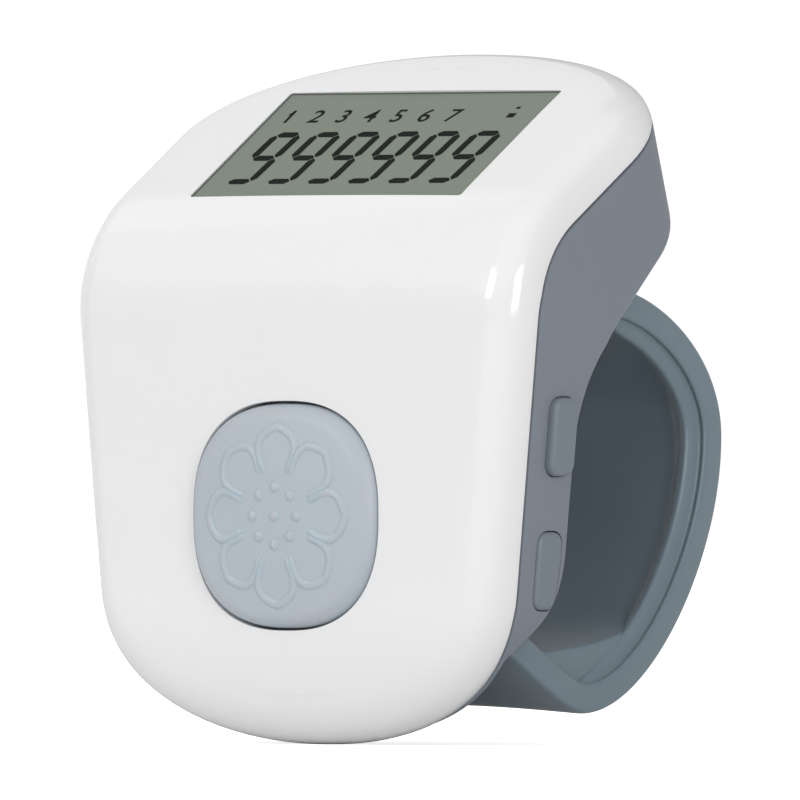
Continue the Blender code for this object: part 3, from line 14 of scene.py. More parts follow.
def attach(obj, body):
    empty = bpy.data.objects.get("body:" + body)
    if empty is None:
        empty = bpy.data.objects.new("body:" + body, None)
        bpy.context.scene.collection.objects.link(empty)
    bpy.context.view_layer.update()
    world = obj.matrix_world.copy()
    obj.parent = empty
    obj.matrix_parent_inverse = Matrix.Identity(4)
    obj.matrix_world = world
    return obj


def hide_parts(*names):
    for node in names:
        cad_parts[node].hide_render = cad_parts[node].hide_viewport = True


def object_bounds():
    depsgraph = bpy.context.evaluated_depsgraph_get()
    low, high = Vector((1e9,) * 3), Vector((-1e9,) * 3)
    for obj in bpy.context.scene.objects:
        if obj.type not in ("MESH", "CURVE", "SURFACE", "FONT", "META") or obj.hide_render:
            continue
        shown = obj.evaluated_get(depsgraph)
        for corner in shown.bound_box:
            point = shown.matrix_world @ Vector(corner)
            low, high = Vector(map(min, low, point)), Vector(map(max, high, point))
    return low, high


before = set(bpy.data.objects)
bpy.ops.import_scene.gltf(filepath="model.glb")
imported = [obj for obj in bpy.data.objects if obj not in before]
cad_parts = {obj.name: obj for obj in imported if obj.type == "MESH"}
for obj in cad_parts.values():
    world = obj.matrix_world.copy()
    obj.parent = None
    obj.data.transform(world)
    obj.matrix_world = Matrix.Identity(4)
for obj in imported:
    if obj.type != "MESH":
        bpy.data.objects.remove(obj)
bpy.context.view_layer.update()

MM = 0.001

# Spine
CURL_RADIUS = 14.7 * MM
CURL_ANGLE = radians(33)
LOWER_LENGTH = 17.5 * MM
BEND_RADIUS = 7.0 * MM
BEND_ANGLE = radians(56.3)
UPPER_LENGTH = 16.85 * MM
CURL_RUN = CURL_RADIUS * CURL_ANGLE
BEND_START = CURL_RUN + LOWER_LENGTH
BEND_END = BEND_START + BEND_RADIUS * BEND_ANGLE
SPINE_LENGTH = BEND_END + UPPER_LENGTH
CURL_TOP = CURL_RADIUS * sin(CURL_ANGLE)

# Plan outline, on the unrolled spine
HALF_WIDTH = 17.7 * MM
LOW_HALF_WIDTH = 15.9 * MM
LOW_END = 0.4 * MM
LOW_CORNER = 9.5 * MM
LOW_CORNER_REACH = 9.0 * MM
LOW_CORNER_PULL = 5.5 * MM
TAPER_END = BEND_START + 1.5 * MM
TOP_CORNER = 10.3 * MM
TOP_CORNER_REACH = 10.3 * MM
TOP_CORNER_PULL = 6.4 * MM
CORNER_STEPS = 26
SIDE_STEP = 0.5 * MM
COLUMNS = 24
ARC_STEPS = 24

# Walls
COVER_WALL = 1.2 * MM
HOUSING_WALL = 1.2 * MM
COVER_RISE = 2.6 * MM
COVER_CROWN = 0.15 * MM
COVER_FACE = COVER_RISE + COVER_CROWN
COVER_INSIDE = COVER_FACE - COVER_WALL
COVER_FILLET = 2.2 * MM
COVER_END_FILLET = 3.7 * MM
COVER_END_REACH = 11.0 * MM
COVER_EDGE = 0.35 * MM
EDGE_ROUND = 0.08 * MM
EDGE_MIDDLE = 0.3 * EDGE_ROUND
INNER_FILLET = 1.6 * MM
INNER_STEPS = 5
SEAM = 0.15 * MM
LAP_INSET = 0.55 * MM
LAP_DEPTH = 0.6 * MM
BACK_FILLET = 0.45 * MM
BACK_STEPS = 8
TOP_FILLET = 3.3 * MM
TOP_FILLET_START = 9.5 * MM
FILLET_SHARE = 0.6
FILLET_STEPS = 12

# Finger side of the housing
SADDLE_DEPTH = 4.5 * MM
SADDLE_RADIUS = 11.0 * MM
SLOPE_ANGLE = radians(45)
END_WALL_ANGLE = radians(79)
END_WALL = 4.95 * MM
TURN_START = 14.0 * MM
CHIN_HEIGHT = 9.0 * MM
CHIN_ANGLE = radians(48)
CHIN_RADIUS = 6.7 * MM
LIP_DEPTH = 0.6 * MM
LIP_STEP = 0.15 * MM
SEAT = 0.1 * MM
CUT_OVER = 0.3 * MM

# Count button
BUTTON_HEIGHT_Z = 13.76 * MM
BUTTON_WIDTH = 14.4 * MM
BUTTON_LENGTH = 13.5 * MM
BUTTON_POWER = 2.48
BUTTON_SIDE_GAP = 0.09 * MM
BUTTON_END_GAP = 0.16 * MM
BUTTON_PROUD = 1.05 * MM
BUTTON_DOME = 0.35 * MM
BUTTON_SHOULDER = 1.1 * MM
BUTTON_FLANGE = 0.8 * MM
BUTTON_FLANGE_THICK = 0.6 * MM
BUTTON_BORE_SHARE = 0.3
BUTTON_SIDES = 128
SHOULDER_STEPS = 10
DOME_STEPS = 24
FLANGE_CLEAR = 0.3 * MM
HOLE_ROUND = 0.09 * MM
HOLE_STEPS = 4

# Display
WINDOW_WIDTH = 21.4 * MM
WINDOW_LENGTH = 11.5 * MM
WINDOW_RUN = 4.87 * MM
WINDOW_LIP = 0.6 * MM
WINDOW_STEP = 0.06 * MM
WINDOW_CORNER = 0.2 * MM
WINDOW_LEDGE = 0.7 * MM
LENS_THICK = 0.7 * MM
LENS_FACE = COVER_RISE - WINDOW_STEP
LENS_TOP = COVER_RISE - WINDOW_LIP
LENS_LOW = COVER_RISE - WINDOW_LIP - LENS_THICK
POCKET_UNDER = 0.4 * MM

# Side buttons
SIDE_BUTTON_LENGTH = 4.75 * MM
SIDE_BUTTON_WIDTH = 2.25 * MM
SIDE_BUTTON_CORNER = 0.8 * MM
SIDE_BUTTON_DEPTH = 2.8 * MM
SIDE_BUTTON_GAP = 0.06 * MM
LOWER_SIDE_SWEEP = 2.6 * MM
LOWER_SIDE_FORWARD = 0.15 * MM
SIDE_SHOULDER = 0.35 * MM
SIDE_SHOULDER_STEPS = 5
SIDE_POCKET = 1.35 * MM
SIDE_CUT_OVER = 0.9 * MM
UPPER_SIDE_Z = 18.53 * MM
UPPER_SIDE_PROUD = 0.55 * MM
LOWER_SIDE_Z = 10.46 * MM
LOWER_SIDE_PROUD = 0.2 * MM

# Screws and battery door on the finger side
SCREW_X = 13.2 * MM
SCREW_Z = 14.55 * MM
TOP_SCREW_X = 13.5 * MM
TOP_SCREW_FROM_END = 7.0 * MM
SCREW_HEAD_RADIUS = 1.2 * MM
SCREW_HEAD = 0.7 * MM
SCREW_SINK = 0.15 * MM
SCREW_CLEAR = 0.2 * MM
SCREW_SIDES = 48
BAY_FROM_END = 6.2 * MM
DOOR_LENGTH = 8.5 * MM
DOOR_WIDTH = 16.0 * MM
DOOR_X = -0.6 * MM
DOOR_THICK = 0.9 * MM
DOOR_CORNER = 1.2 * MM
DOOR_GAP = 0.15 * MM
DOOR_ROUND = 0.12 * MM
DOOR_ROUND_STEPS = 3
DOOR_SCREW_X = 4.9 * MM
DOOR_SINK_SHARE = 0.6

# Strap. The origin is the middle of its opening, inside the plain bead of STRAP_BEAD.
STRAP_HALF_WIDTH = 13.5 * MM
STRAP_ROOT_HALF_WIDTH = 13.2 * MM
STRAP_TOP_TAB = 12.6 * MM
STRAP_LOW_TAB = 9.6 * MM
STRAP_TAB_THICK = 1.0 * MM
STRAP_DIP = 0.5 * MM
STRAP_HEAD_THICK = 0.6 * MM
STRAP_THICK = 1.8 * MM
STRAP_BEAD = 1.0 * MM
BEAD_HEIGHT = 0.85 * MM
BEAD_REACH = 2.2 * MM
BEAD_GROOVE = 0.16 * MM
BEAD_LEAST = 0.05
STRAP_EDGE = 0.26 * MM
STRAP_SLOT_GAP = 0.2 * MM
STRAP_SLOT_CORNER = 0.3 * MM
STRAP_BAR_RADIUS = 1.25 * MM
STRAP_SLOT_REACH = 5.0 * MM
STRAP_SHOULDER = 5.0 * MM
BEAD_LOW_END = 7.0 * MM
BEAD_LOW_FADE = 5.0 * MM
FILL_START = (5.2 * MM, 5.5 * MM)
FILL_PULL = (5.1 * MM, 0.4 * MM)
FILL_REACH = 19.4 * MM
FILL_BEND = 2.7 * MM
FILL_INSET = 0.62 * MM
FILL_ROUND = 0.32 * MM
FILL_STEPS = 4
FILL_FOLD = 1.2
STRAP_STEPS = 18
STRAP_ROOT_STEPS = 6
STRAP_SUBDIVIDE = 2
STRAP_REACH = 17.95 * MM
STRAP_APEX_SHARE = 0.643
STRAP_FOOT = (9.4 * MM, 1.8 * MM)
STRAP_FROM_END = 11.35 * MM
STRAP_CORNER_IN = 6.5 * MM
STRAP_CORNER_DOWN = 4.0 * MM
STRAP_LOW_CORNER_IN = 7.1 * MM
STRAP_LOW_CORNER_UP = 9.0 * MM
STRAP_ROOT_BEND = 1.0 * MM
STRAP_ROOT_STRAIGHT = 4.6 * MM
STRAP_LEAN = radians(34.5)
STRAP_ROOT_UP = -0.5 * MM

# Meshes
MERGE = 0.0005 * MM
ROUND_STEPS = 8
SHARP = radians(35)
RELIEF_SHARP = radians(60)
STRAP_SHARP = radians(80)
FILL_SHARP = radians(50)
PARALLEL = 1e-15
SLACK = 1e-9


# Places


def smooth_step(value):
    """Eases from 0 to 1."""
    value = min(max(value, 0.0), 1.0)
    return value * value * (3 - 2 * value)


def spine(run):
    """Depth, height and lean of the spine at this run."""
    if run < CURL_RUN:
        turn = (CURL_RUN - run) / CURL_RADIUS
        return CURL_RADIUS * (1 - cos(turn)), CURL_TOP - CURL_RADIUS * sin(turn), -turn
    if run < BEND_START:
        return 0.0, CURL_TOP + run - CURL_RUN, 0.0
    turn = min((run - BEND_START) / BEND_RADIUS, BEND_ANGLE)
    beyond = max(run - BEND_END, 0.0)
    depth = BEND_RADIUS * (1 - cos(turn)) + beyond * sin(turn)
    height = CURL_TOP + LOWER_LENGTH + BEND_RADIUS * sin(turn) + beyond * cos(turn)
    return depth, height, turn


def inward(run):
    """Angle below level of the way that the housing's wall leaves the spine."""
    return END_WALL_ANGLE * smooth_step((run - TURN_START) / (SPINE_LENGTH - TURN_START))


END_Y, END_Z, _ = spine(SPINE_LENGTH)
SLOPE_END = (END_Y + END_WALL * cos(END_WALL_ANGLE), END_Z - END_WALL * sin(END_WALL_ANGLE))


def slope_point(from_end):
    """A place on the slope of the finger side, down it from its upper end, as (depth, height)."""
    return (
        SLOPE_END[0] - from_end * cos(SLOPE_ANGLE),
        SLOPE_END[1] - from_end * sin(SLOPE_ANGLE),
    )


def slope_depth(z):
    """Depth of the slope at this height."""
    return SLOPE_END[0] - (SLOPE_END[1] - z) / tan(SLOPE_ANGLE)


CHIN_TURN = pi / 2 - CHIN_ANGLE
CHIN_CENTRE = (SADDLE_DEPTH - CHIN_RADIUS, CHIN_HEIGHT + CHIN_RADIUS * tan(CHIN_TURN / 2))
STRAP_TOP_Z = slope_point(STRAP_FROM_END)[1]
STRAP_APEX = (
    SADDLE_DEPTH + STRAP_REACH,
    STRAP_FOOT[1] + (STRAP_TOP_Z - STRAP_FOOT[1]) * STRAP_APEX_SHARE,
)
BAR_Z = STRAP_TOP_Z - STRAP_THICK / 2
BAR_Y = slope_depth(BAR_Z) - (HOUSING_WALL + SEAT + STRAP_BAR_RADIUS) / sin(SLOPE_ANGLE)
LOOP_Y = (SADDLE_DEPTH + STRAP_APEX[0] - STRAP_THICK - STRAP_BEAD) / 2
LOOP_Z = (STRAP_FOOT[1] + STRAP_TOP_Z) / 2
TO_ROW = Matrix.Translation((0.0, -LOOP_Y, -LOOP_Z))


def case_frame(y, z, turn):
    """A frame for flat features, with its Z out of the case."""
    return TO_ROW @ Matrix.Translation((0.0, y, z)) @ Matrix.Rotation(turn, 4, "X")


BEND_END_Y, BEND_END_Z, _ = spine(BEND_END)
LOWER_PANEL = case_frame(0.0, 0.0, pi / 2)
UPPER_PANEL = case_frame(BEND_END_Y, BEND_END_Z, pi / 2 - BEND_ANGLE)
SADDLE = case_frame(SADDLE_DEPTH, 0.0, -pi / 2)
BAY = case_frame(*slope_point(BAY_FROM_END), pi + SLOPE_ANGLE)


def arc_points(centre, radius, first, last):
    """Points of an arc, with both ends."""
    angles = [first + (last - first) * k / ARC_STEPS for k in range(ARC_STEPS + 1)]
    return [(centre[0] + radius * cos(a), centre[1] + radius * sin(a)) for a in angles]


def back_line():
    """The housing's finger side, seen from the side."""
    chin = arc_points(CHIN_CENTRE, CHIN_RADIUS, -CHIN_TURN, 0.0)
    below = (
        chin[0][0] - SPINE_LENGTH * cos(CHIN_ANGLE),
        chin[0][1] - SPINE_LENGTH * sin(CHIN_ANGLE),
    )
    turn = pi / 2 - SLOPE_ANGLE
    corner_z = SLOPE_END[1] - (SLOPE_END[0] - SADDLE_DEPTH) * tan(SLOPE_ANGLE)
    centre = (SADDLE_DEPTH + SADDLE_RADIUS, corner_z - SADDLE_RADIUS * tan(turn / 2))
    saddle = arc_points(centre, SADDLE_RADIUS, pi, pi - turn)
    return [below] + chin + saddle + [slope_point(-SPINE_LENGTH)]


BACK_LINE = back_line()


def back_depth(run):
    """How far the housing reaches from the spine to its finger side."""
    depth, height, _ = spine(run)
    way = (cos(inward(run)), -sin(inward(run)))
    found = []
    for (y0, z0), (y1, z1) in zip(BACK_LINE, BACK_LINE[1:]):
        side = (y1 - y0, z1 - z0)
        cross = way[0] * side[1] - way[1] * side[0]
        if abs(cross) < PARALLEL:
            continue
        gap = (y0 - depth, z0 - height)
        far = (gap[0] * side[1] - gap[1] * side[0]) / cross
        share = (gap[0] * way[1] - gap[1] * way[0]) / cross
        if far > 0 and -SLACK <= share <= 1 + SLACK:
            found.append(far)
    return max(min(found, default=LIP_DEPTH), LIP_DEPTH)


def place(x, run, level):
    """The point at (x, run, level), in the row's frame."""
    depth, height, lean = spine(run)
    angle = lean if level >= 0 else inward(run)
    rise = level * sin(angle)
    return Vector((x, depth - level * cos(angle) - LOOP_Y, height + rise - LOOP_Z))


def cubic(start, first, second, end, count):
    """Points of a cubic curve, without its start."""
    made = []
    for k in range(1, count + 1):
        t = k / count
        weights = ((1 - t) ** 3, 3 * t * (1 - t) ** 2, 3 * t * t * (1 - t), t**3)
        ends = (start, first, second, end)
        made.append(tuple(sum(w * p[i] for w, p in zip(weights, ends)) for i in (0, 1)))
    return made


def half_width(run):
    """Half the case's width over its tapered sides."""
    share = (run - LOW_CORNER) / (TAPER_END - LOW_CORNER)
    return LOW_HALF_WIDTH + (HALF_WIDTH - LOW_HALF_WIDTH) * min(share, 1.0)


def half_outline():
    """The right half of the plan outline, from the bottom's middle to the top's middle."""
    top_corner = SPINE_LENGTH - TOP_CORNER
    taper = (HALF_WIDTH - LOW_HALF_WIDTH) / (TAPER_END - LOW_CORNER)
    low_pull = (LOW_HALF_WIDTH - taper * LOW_CORNER_PULL, LOW_CORNER - LOW_CORNER_PULL)
    start = (0.0, LOW_END)
    points = [start] + cubic(
        start, (LOW_CORNER_REACH, LOW_END), low_pull, (LOW_HALF_WIDTH, LOW_CORNER), CORNER_STEPS
    )
    count = round((top_corner - LOW_CORNER) / SIDE_STEP)
    for k in range(1, count + 1):
        run = LOW_CORNER + (top_corner - LOW_CORNER) * k / count
        points.append((half_width(run), run))
    return points + cubic(
        (HALF_WIDTH, top_corner), (HALF_WIDTH, top_corner + TOP_CORNER_PULL),
        (TOP_CORNER_REACH, SPINE_LENGTH), (0.0, SPINE_LENGTH), CORNER_STEPS,
    )


OUTLINE = half_outline()


def at(value, run):
    """A wall's inset or level at this run: a number, or a function of the run."""
    return value(run) if callable(value) else value


def inset_outline(depth):
    """The right half outline, moved in along its own normals, which may vary with the run."""
    moved = []
    last = len(OUTLINE) - 1
    for k, (x, run) in enumerate(OUTLINE):
        inset = at(depth, run)
        if k in (0, last):
            moved.append((0.0, run + (inset if k == 0 else -inset)))
            continue
        (x0, run0), (x1, run1) = OUTLINE[k - 1], OUTLINE[k + 1]
        length = hypot(x1 - x0, run1 - run0)
        moved.append((x - inset * (run1 - run0) / length, run + inset * (x1 - x0) / length))
    return moved


def both_sides(right):
    """A closed outline, from its right half."""
    return right + [(-x, y) for x, y in right[-2:0:-1]]


# Materials


NOISE_RANGE = (0.3, 0.7)
GRAIN_DEPTH = 0.02 * MM
LEAST_ROUGHNESS = 0.01


def group_socket(tree, name, direction, default=None):
    """Adds a number to what the node group takes in or gives out."""
    made = tree.interface.new_socket(name, in_out=direction, socket_type="NodeSocketFloat")
    if default is not None:
        made.default_value = default


def join(start, output, end, socket):
    """Links one node's output to another's input."""
    start.id_data.links.new(start.outputs[output], end.inputs[socket])


def give(node, **values):
    """Puts values on the node's own sockets; an underscore stands for a space."""
    for socket, value in values.items():
        node.inputs[socket.replace("_", " ")].default_value = value


def grain_group():
    """Two scales of moulded surface: Height for a bump, and Patch, a slow change of finish."""
    tree = bpy.data.node_groups.new("moulded_surface", "ShaderNodeTree")
    group_socket(tree, "Grain Scale", "INPUT", 4000.0)
    group_socket(tree, "Patch Scale", "INPUT", 180.0)
    group_socket(tree, "Height", "OUTPUT")
    group_socket(tree, "Patch", "OUTPUT")
    nodes = tree.nodes
    entry = nodes.new("NodeGroupInput")
    leave = nodes.new("NodeGroupOutput")
    where = nodes.new("ShaderNodeTexCoord")
    fine = nodes.new("ShaderNodeTexNoise")
    give(fine, Detail=3.0)
    slow = nodes.new("ShaderNodeTexNoise")
    give(slow, Detail=4.0, Roughness=0.6)
    join(where, "Object", fine, "Vector")
    join(where, "Object", slow, "Vector")
    join(entry, "Grain Scale", fine, "Scale")
    join(entry, "Patch Scale", slow, "Scale")
    join(fine, "Fac", leave, "Height")
    join(slow, "Fac", leave, "Patch")
    return tree


SURFACE = grain_group()


def finish(
    name, colour, roughness, spread=0.04, tint=0.03, bump=0.05, grain=4000.0, patch=180.0,
    **sockets,
):
    """A moulded finish: its colour and roughness drift slowly, over a fine grain."""
    made = bpy.data.materials.new(name)
    made.use_nodes = True
    tree = made.node_tree
    shader = tree.nodes["Principled BSDF"]
    surface = tree.nodes.new("ShaderNodeGroup")
    surface.node_tree = SURFACE
    give(surface, Grain_Scale=grain, Patch_Scale=patch)
    shades = tree.nodes.new("ShaderNodeMix")
    shades.data_type = "RGBA"
    dark = [value * (1 - tint) for value in colour]
    light = [min(value * (1 + tint), 1.0) for value in colour]
    give(shades, A=(*dark, 1.0), B=(*light, 1.0))
    join(surface, "Patch", shades, "Factor")
    join(shades, "Result", shader, "Base Color")
    rough = tree.nodes.new("ShaderNodeMapRange")
    give(rough, From_Min=NOISE_RANGE[0], From_Max=NOISE_RANGE[1])
    give(rough, To_Min=max(roughness - spread, LEAST_ROUGHNESS), To_Max=roughness + spread)
    join(surface, "Patch", rough, "Value")
    join(rough, "Result", shader, "Roughness")
    if bump:
        raised = tree.nodes.new("ShaderNodeBump")
        give(raised, Strength=bump, Distance=GRAIN_DEPTH)
        join(surface, "Height", raised, "Height")
        join(raised, "Normal", shader, "Normal")
    give(shader, **sockets)
    made.diffuse_color = (*colour, 1.0)
    return made


COVER_WHITE = finish(
    "cover_white_gloss", (0.80, 0.80, 0.805), 0.14, 0.03, 0.006, 0.02, 900.0,
    Coat_Weight=0.6, Coat_Roughness=0.06,
)
HOUSING_GREY = finish("housing_grey_satin", (0.187, 0.212, 0.246), 0.40, 0.04, 0.02, 0.12, 5000.0)
SIDE_GREY = finish("side_button_grey_satin", (0.172, 0.204, 0.234), 0.38, 0.04, 0.02, 0.1, 5000.0)
BUTTON_FROST = finish(
    "count_button_frosted", (0.43, 0.48, 0.525), 0.42, 0.05, 0.015, 0.1, 4000.0,
    Subsurface_Weight=0.25, Subsurface_Scale=0.8 * MM,
)
SILICONE = finish(
    "strap_silicone", (0.149, 0.201, 0.238), 0.36, 0.05, 0.05, 0.2, 5500.0,
    Sheen_Weight=0.2, Sheen_Roughness=0.5,
)
DISPLAY_FACE = finish(
    "display_face_grey_green", (0.188, 0.22, 0.18), 0.30, 0.03, 0.02, 0.0, 4000.0, 250.0,
    Specular_IOR_Level=0.12,
)
DISPLAY_INK = finish(
    "display_segment_dark", (0.011, 0.014, 0.01), 0.5, 0.03, 0.05, 0.0, Specular_IOR_Level=0.02
)
# Painted shade: the dark colour of the line that stands in for the shadow on the display opening's
# wall.
DISPLAY_WALL_SHADE = finish(
    "display_wall_painted_shade", (0.125, 0.133, 0.125), 0.4, 0.03, 0.05, 0.0, Specular_IOR_Level=0.1
)
INNER_WHITE = finish("inner_white_moulding", (0.7, 0.7, 0.68), 0.5)
GLASS_EDGE = finish("display_glass_plain", (0.5, 0.58, 0.52), 0.1, 0.02, 0.02, 0.0)
FILM = finish("ribbon_film_amber", (0.45, 0.22, 0.06), 0.35)
BOARD = finish("board_green_mask", (0.02, 0.15, 0.055), 0.4, 0.06, 0.15, 0.1, 1200.0, 500.0)
RESIN = finish("chip_resin_black", (0.012, 0.012, 0.012), 0.3)
BLACK_PLASTIC = finish("switch_black_moulding", (0.02, 0.02, 0.021), 0.45)
STEEL = finish(
    "screw_steel_plated", (0.56, 0.56, 0.57), 0.28, 0.08, 0.06, 0.15, 2500.0, 900.0, Metallic=1.0
)
CELL_STEEL = finish("cell_steel_polished", (0.7, 0.7, 0.71), 0.2, 0.05, 0.04, 0.05, Metallic=1.0)
RED_WIRE = finish("wire_red_sleeve", (0.5, 0.02, 0.02), 0.45)
BLACK_WIRE = finish("wire_black_sleeve", (0.02, 0.02, 0.02), 0.45)


# Shared shapes


def put(name, data):
    """An object with this data, in the scene."""
    made = bpy.data.objects.new(name, data)
    bpy.context.scene.collection.objects.link(made)
    return made


def evaluated_mesh(holder):
    """The object's shape as a new mesh, with its modifiers or its curve worked out."""
    bpy.context.view_layer.update()
    depsgraph = bpy.context.evaluated_depsgraph_get()
    return bpy.data.meshes.new_from_object(holder.evaluated_get(depsgraph))


def curve_mesh(curve):
    """The curve as a mesh."""
    holder = put(curve.name, curve)
    mesh = evaluated_mesh(holder)
    bpy.data.objects.remove(holder)
    return mesh


def finished(name, builder, material, sharp=SHARP):
    """The builder's mesh as an object with its doubles merged and its faces outwards."""
    bmesh.ops.remove_doubles(builder, verts=builder.verts[:], dist=MERGE)
    bmesh.ops.recalc_face_normals(builder, faces=builder.faces[:])
    mesh = bpy.data.meshes.new(name)
    builder.to_mesh(mesh)
    builder.free()
    mesh.materials.append(material)
    mesh.shade_smooth()
    mesh.set_sharp_from_angle(angle=sharp)
    return put(name, mesh)


def skin(builder, columns, rows, where):
    """A grid whose vertex in each column and row goes where the function says."""
    made = bmesh.ops.create_grid(builder, x_segments=columns, y_segments=rows, size=1.0)["verts"]
    for vert in made:
        column = round((vert.co.x + 1) / 2 * columns)
        row = round((vert.co.y + 1) / 2 * rows)
        vert.co = where(column, row)


def ring_skin(builder, rings):
    """A tube through closed rings of points."""
    count = len(rings[0])
    skin(builder, count, len(rings) - 1, lambda column, row: rings[row][column % count])


def close_ends(builder):
    """Joins the tube's seam and closes its open ends."""
    bmesh.ops.remove_doubles(builder, verts=builder.verts[:], dist=MERGE)
    bmesh.ops.holes_fill(builder, edges=builder.edges[:], sides=0)


def slab(builder, outline, low, high, matrix):
    """A plate with this outline, between two levels of a frame. Returns its upper vertices."""
    face = builder.faces.new([builder.verts.new((x, y, low)) for x, y in outline])
    made = bmesh.ops.extrude_face_region(builder, geom=[face])["geom"]
    tops = [item for item in made if isinstance(item, bmesh.types.BMVert)]
    bmesh.ops.translate(builder, verts=tops, vec=(0.0, 0.0, high - low))
    for vert in list(face.verts) + tops:
        vert.co = matrix @ vert.co
    bmesh.ops.recalc_face_normals(builder, faces=builder.faces[:])
    return tops


def round_edges(builder, edges, offset, segments):
    """Rounds edges of the mesh."""
    bmesh.ops.bevel(
        builder, geom=edges, offset=offset, offset_type="OFFSET", segments=segments, profile=0.5,
        affect="EDGES", material=-1, clamp_overlap=True,
    )


def round_top(builder, tops, offset, segments):
    """Rounds the edges between a slab's upper vertices."""
    chosen = set(tops)
    edges = [edge for edge in builder.edges if edge.verts[0] in chosen and edge.verts[1] in chosen]
    round_edges(builder, edges, offset, segments)


def rectangle(width, length, x, y):
    """The corners of a rectangle, from its middle."""
    corners = ((-1, -1), (1, -1), (1, 1), (-1, 1))
    return [(x + a * width / 2, y + b * length / 2) for a, b in corners]


def rounded(width, length, corner, x=0.0, y=0.0, sweep=0.0):
    """A rectangle with round corners; sweep lengthens the one at +x and +y along x."""
    points = []
    for quarter in range(4):
        reach = corner + (sweep if quarter == 0 else 0.0)
        mid_x = x + (width / 2 - reach) * (1 if quarter in (0, 3) else -1)
        mid_y = y + (length / 2 - corner) * (1 if quarter in (0, 1) else -1)
        for k in range(ROUND_STEPS + 1):
            turn = pi / 2 * (quarter + k / ROUND_STEPS)
            points.append((mid_x + reach * cos(turn), mid_y + corner * sin(turn)))
    return points


def screw_circle(x, y):
    """The outline of a screw head's recess."""
    radius = SCREW_HEAD_RADIUS + SCREW_CLEAR / 2
    turns = [2 * pi * k / SCREW_SIDES for k in range(SCREW_SIDES)]
    return [(x + radius * cos(turn), y + radius * sin(turn)) for turn in turns]


def oval(width, length):
    """A squarish oval, the count button's outline."""
    points = []
    for k in range(BUTTON_SIDES):
        turn = 2 * pi * k / BUTTON_SIDES
        c, s = cos(turn), sin(turn)
        x = width / 2 * copysign(abs(c) ** (2 / BUTTON_POWER), c)
        y = length / 2 * copysign(abs(s) ** (2 / BUTTON_POWER), s)
        points.append((x, y))
    return points


def carve(target, cutters):
    """Cuts the closed cutters out of the target, and leaves the result as its mesh."""
    for tool in cutters:
        step = target.modifiers.new(tool.name, "BOOLEAN")
        step.object = tool
        step.operation = "DIFFERENCE"
        step.solver = "EXACT"
    mesh = evaluated_mesh(target)
    target.modifiers.clear()
    target.data = mesh
    mesh.set_sharp_from_angle(angle=SHARP)
    for tool in cutters:
        bpy.data.objects.remove(tool)


def cutter(name, outline, low, high, matrix):
    """A plate that carve takes away."""
    builder = bmesh.new()
    slab(builder, outline, low, high, matrix)
    return finished(name, builder, COVER_WHITE)


# The two shells of the case


def case_shell(name, steps, crowns, material):
    """A closed shell from its outer face, round its rim, to its inner face."""
    builder = bmesh.new()
    rings = []
    for inset, level in steps:
        around = both_sides(inset_outline(inset))
        rings.append([place(x, run, at(level, run)) for x, run in around])
    ring_skin(builder, rings)
    for (inset, level), crown in zip((steps[0], steps[-1]), crowns):
        right = inset_outline(inset)

        def across(column, row, right=right, level=level, crown=crown):
            half, run = right[row]
            share = 2 * column / COLUMNS - 1
            rise = crown * half / HALF_WIDTH * (1 - share**2)
            return place(half * share, run, at(level, run) + rise)

        skin(builder, COLUMNS, len(right) - 1, across)
    return finished(name, builder, material)


def cover_fillet(run):
    """The cover's outer radius, larger at its two ends."""
    share = smooth_step(1 - min(run, SPINE_LENGTH - run) / COVER_END_REACH)
    return COVER_FILLET + (COVER_END_FILLET - COVER_FILLET) * share


def make_cover():
    """The white cover, from its face round its lap joint to its inner face."""
    fillet = []
    for k in range(FILLET_STEPS + 1):
        turn = pi / 2 * (1 - k / FILLET_STEPS)
        level = COVER_EDGE + (COVER_RISE - COVER_EDGE) * sin(turn)
        fillet.append((lambda run, c=cos(turn): cover_fillet(run) * (1 - c), level))
    rim = [
        (0.0, EDGE_ROUND), (EDGE_MIDDLE, EDGE_MIDDLE), (EDGE_ROUND, 0.0),
        (LAP_INSET, 0.0), (LAP_INSET, LAP_DEPTH), (COVER_WALL, LAP_DEPTH),
    ]
    inside = []
    for k in range(1, INNER_STEPS + 1):
        turn = pi / 2 * k / INNER_STEPS
        level = LAP_DEPTH + (COVER_RISE - COVER_WALL - LAP_DEPTH) * sin(turn)
        inside.append((COVER_WALL + INNER_FILLET * (1 - cos(turn)), level))
    steps = fillet + rim + inside
    return case_shell("cover_shell", steps, (COVER_CROWN, COVER_CROWN), COVER_WHITE)


def back_fillet(run):
    """The housing's outer radius, larger at its top."""
    share = smooth_step((run - BEND_END - TOP_FILLET_START) / (UPPER_LENGTH - TOP_FILLET_START))
    full = BACK_FILLET + (TOP_FILLET - BACK_FILLET) * share
    return min(full, (back_depth(run) - SEAM) * FILLET_SHARE)


def make_housing():
    """The grey housing, from its finger side round its tongue to its inner face."""
    outer = []
    for k in range(BACK_STEPS + 1):
        turn = pi / 2 * (1 - k / BACK_STEPS)
        outer.append((
            lambda run, c=cos(turn): back_fillet(run) * (1 - c),
            lambda run, s=sin(turn): back_fillet(run) * (1 - s) - back_depth(run),
        ))
    tongue = LAP_DEPTH - SEAM
    rim = [
        (0.0, -SEAM - EDGE_ROUND), (EDGE_MIDDLE, -SEAM - EDGE_MIDDLE), (EDGE_ROUND, -SEAM),
        (LAP_INSET + SEAM, -SEAM), (LAP_INSET + SEAM, tongue), (COVER_WALL, tongue),
    ]

    def half_in(run):
        return min((HOUSING_WALL - back_depth(run)) / 2, tongue - LIP_STEP)

    def full_in(run):
        return min(HOUSING_WALL - back_depth(run), tongue - 2 * LIP_STEP)

    inside = [(HOUSING_WALL, half_in), (HOUSING_WALL + LIP_STEP / 2, full_in)]
    return case_shell("housing_shell", outer + rim + inside, (0.0, 0.0), HOUSING_GREY)


cover = make_cover()
housing = make_housing()


# Count button, with its relief of petals


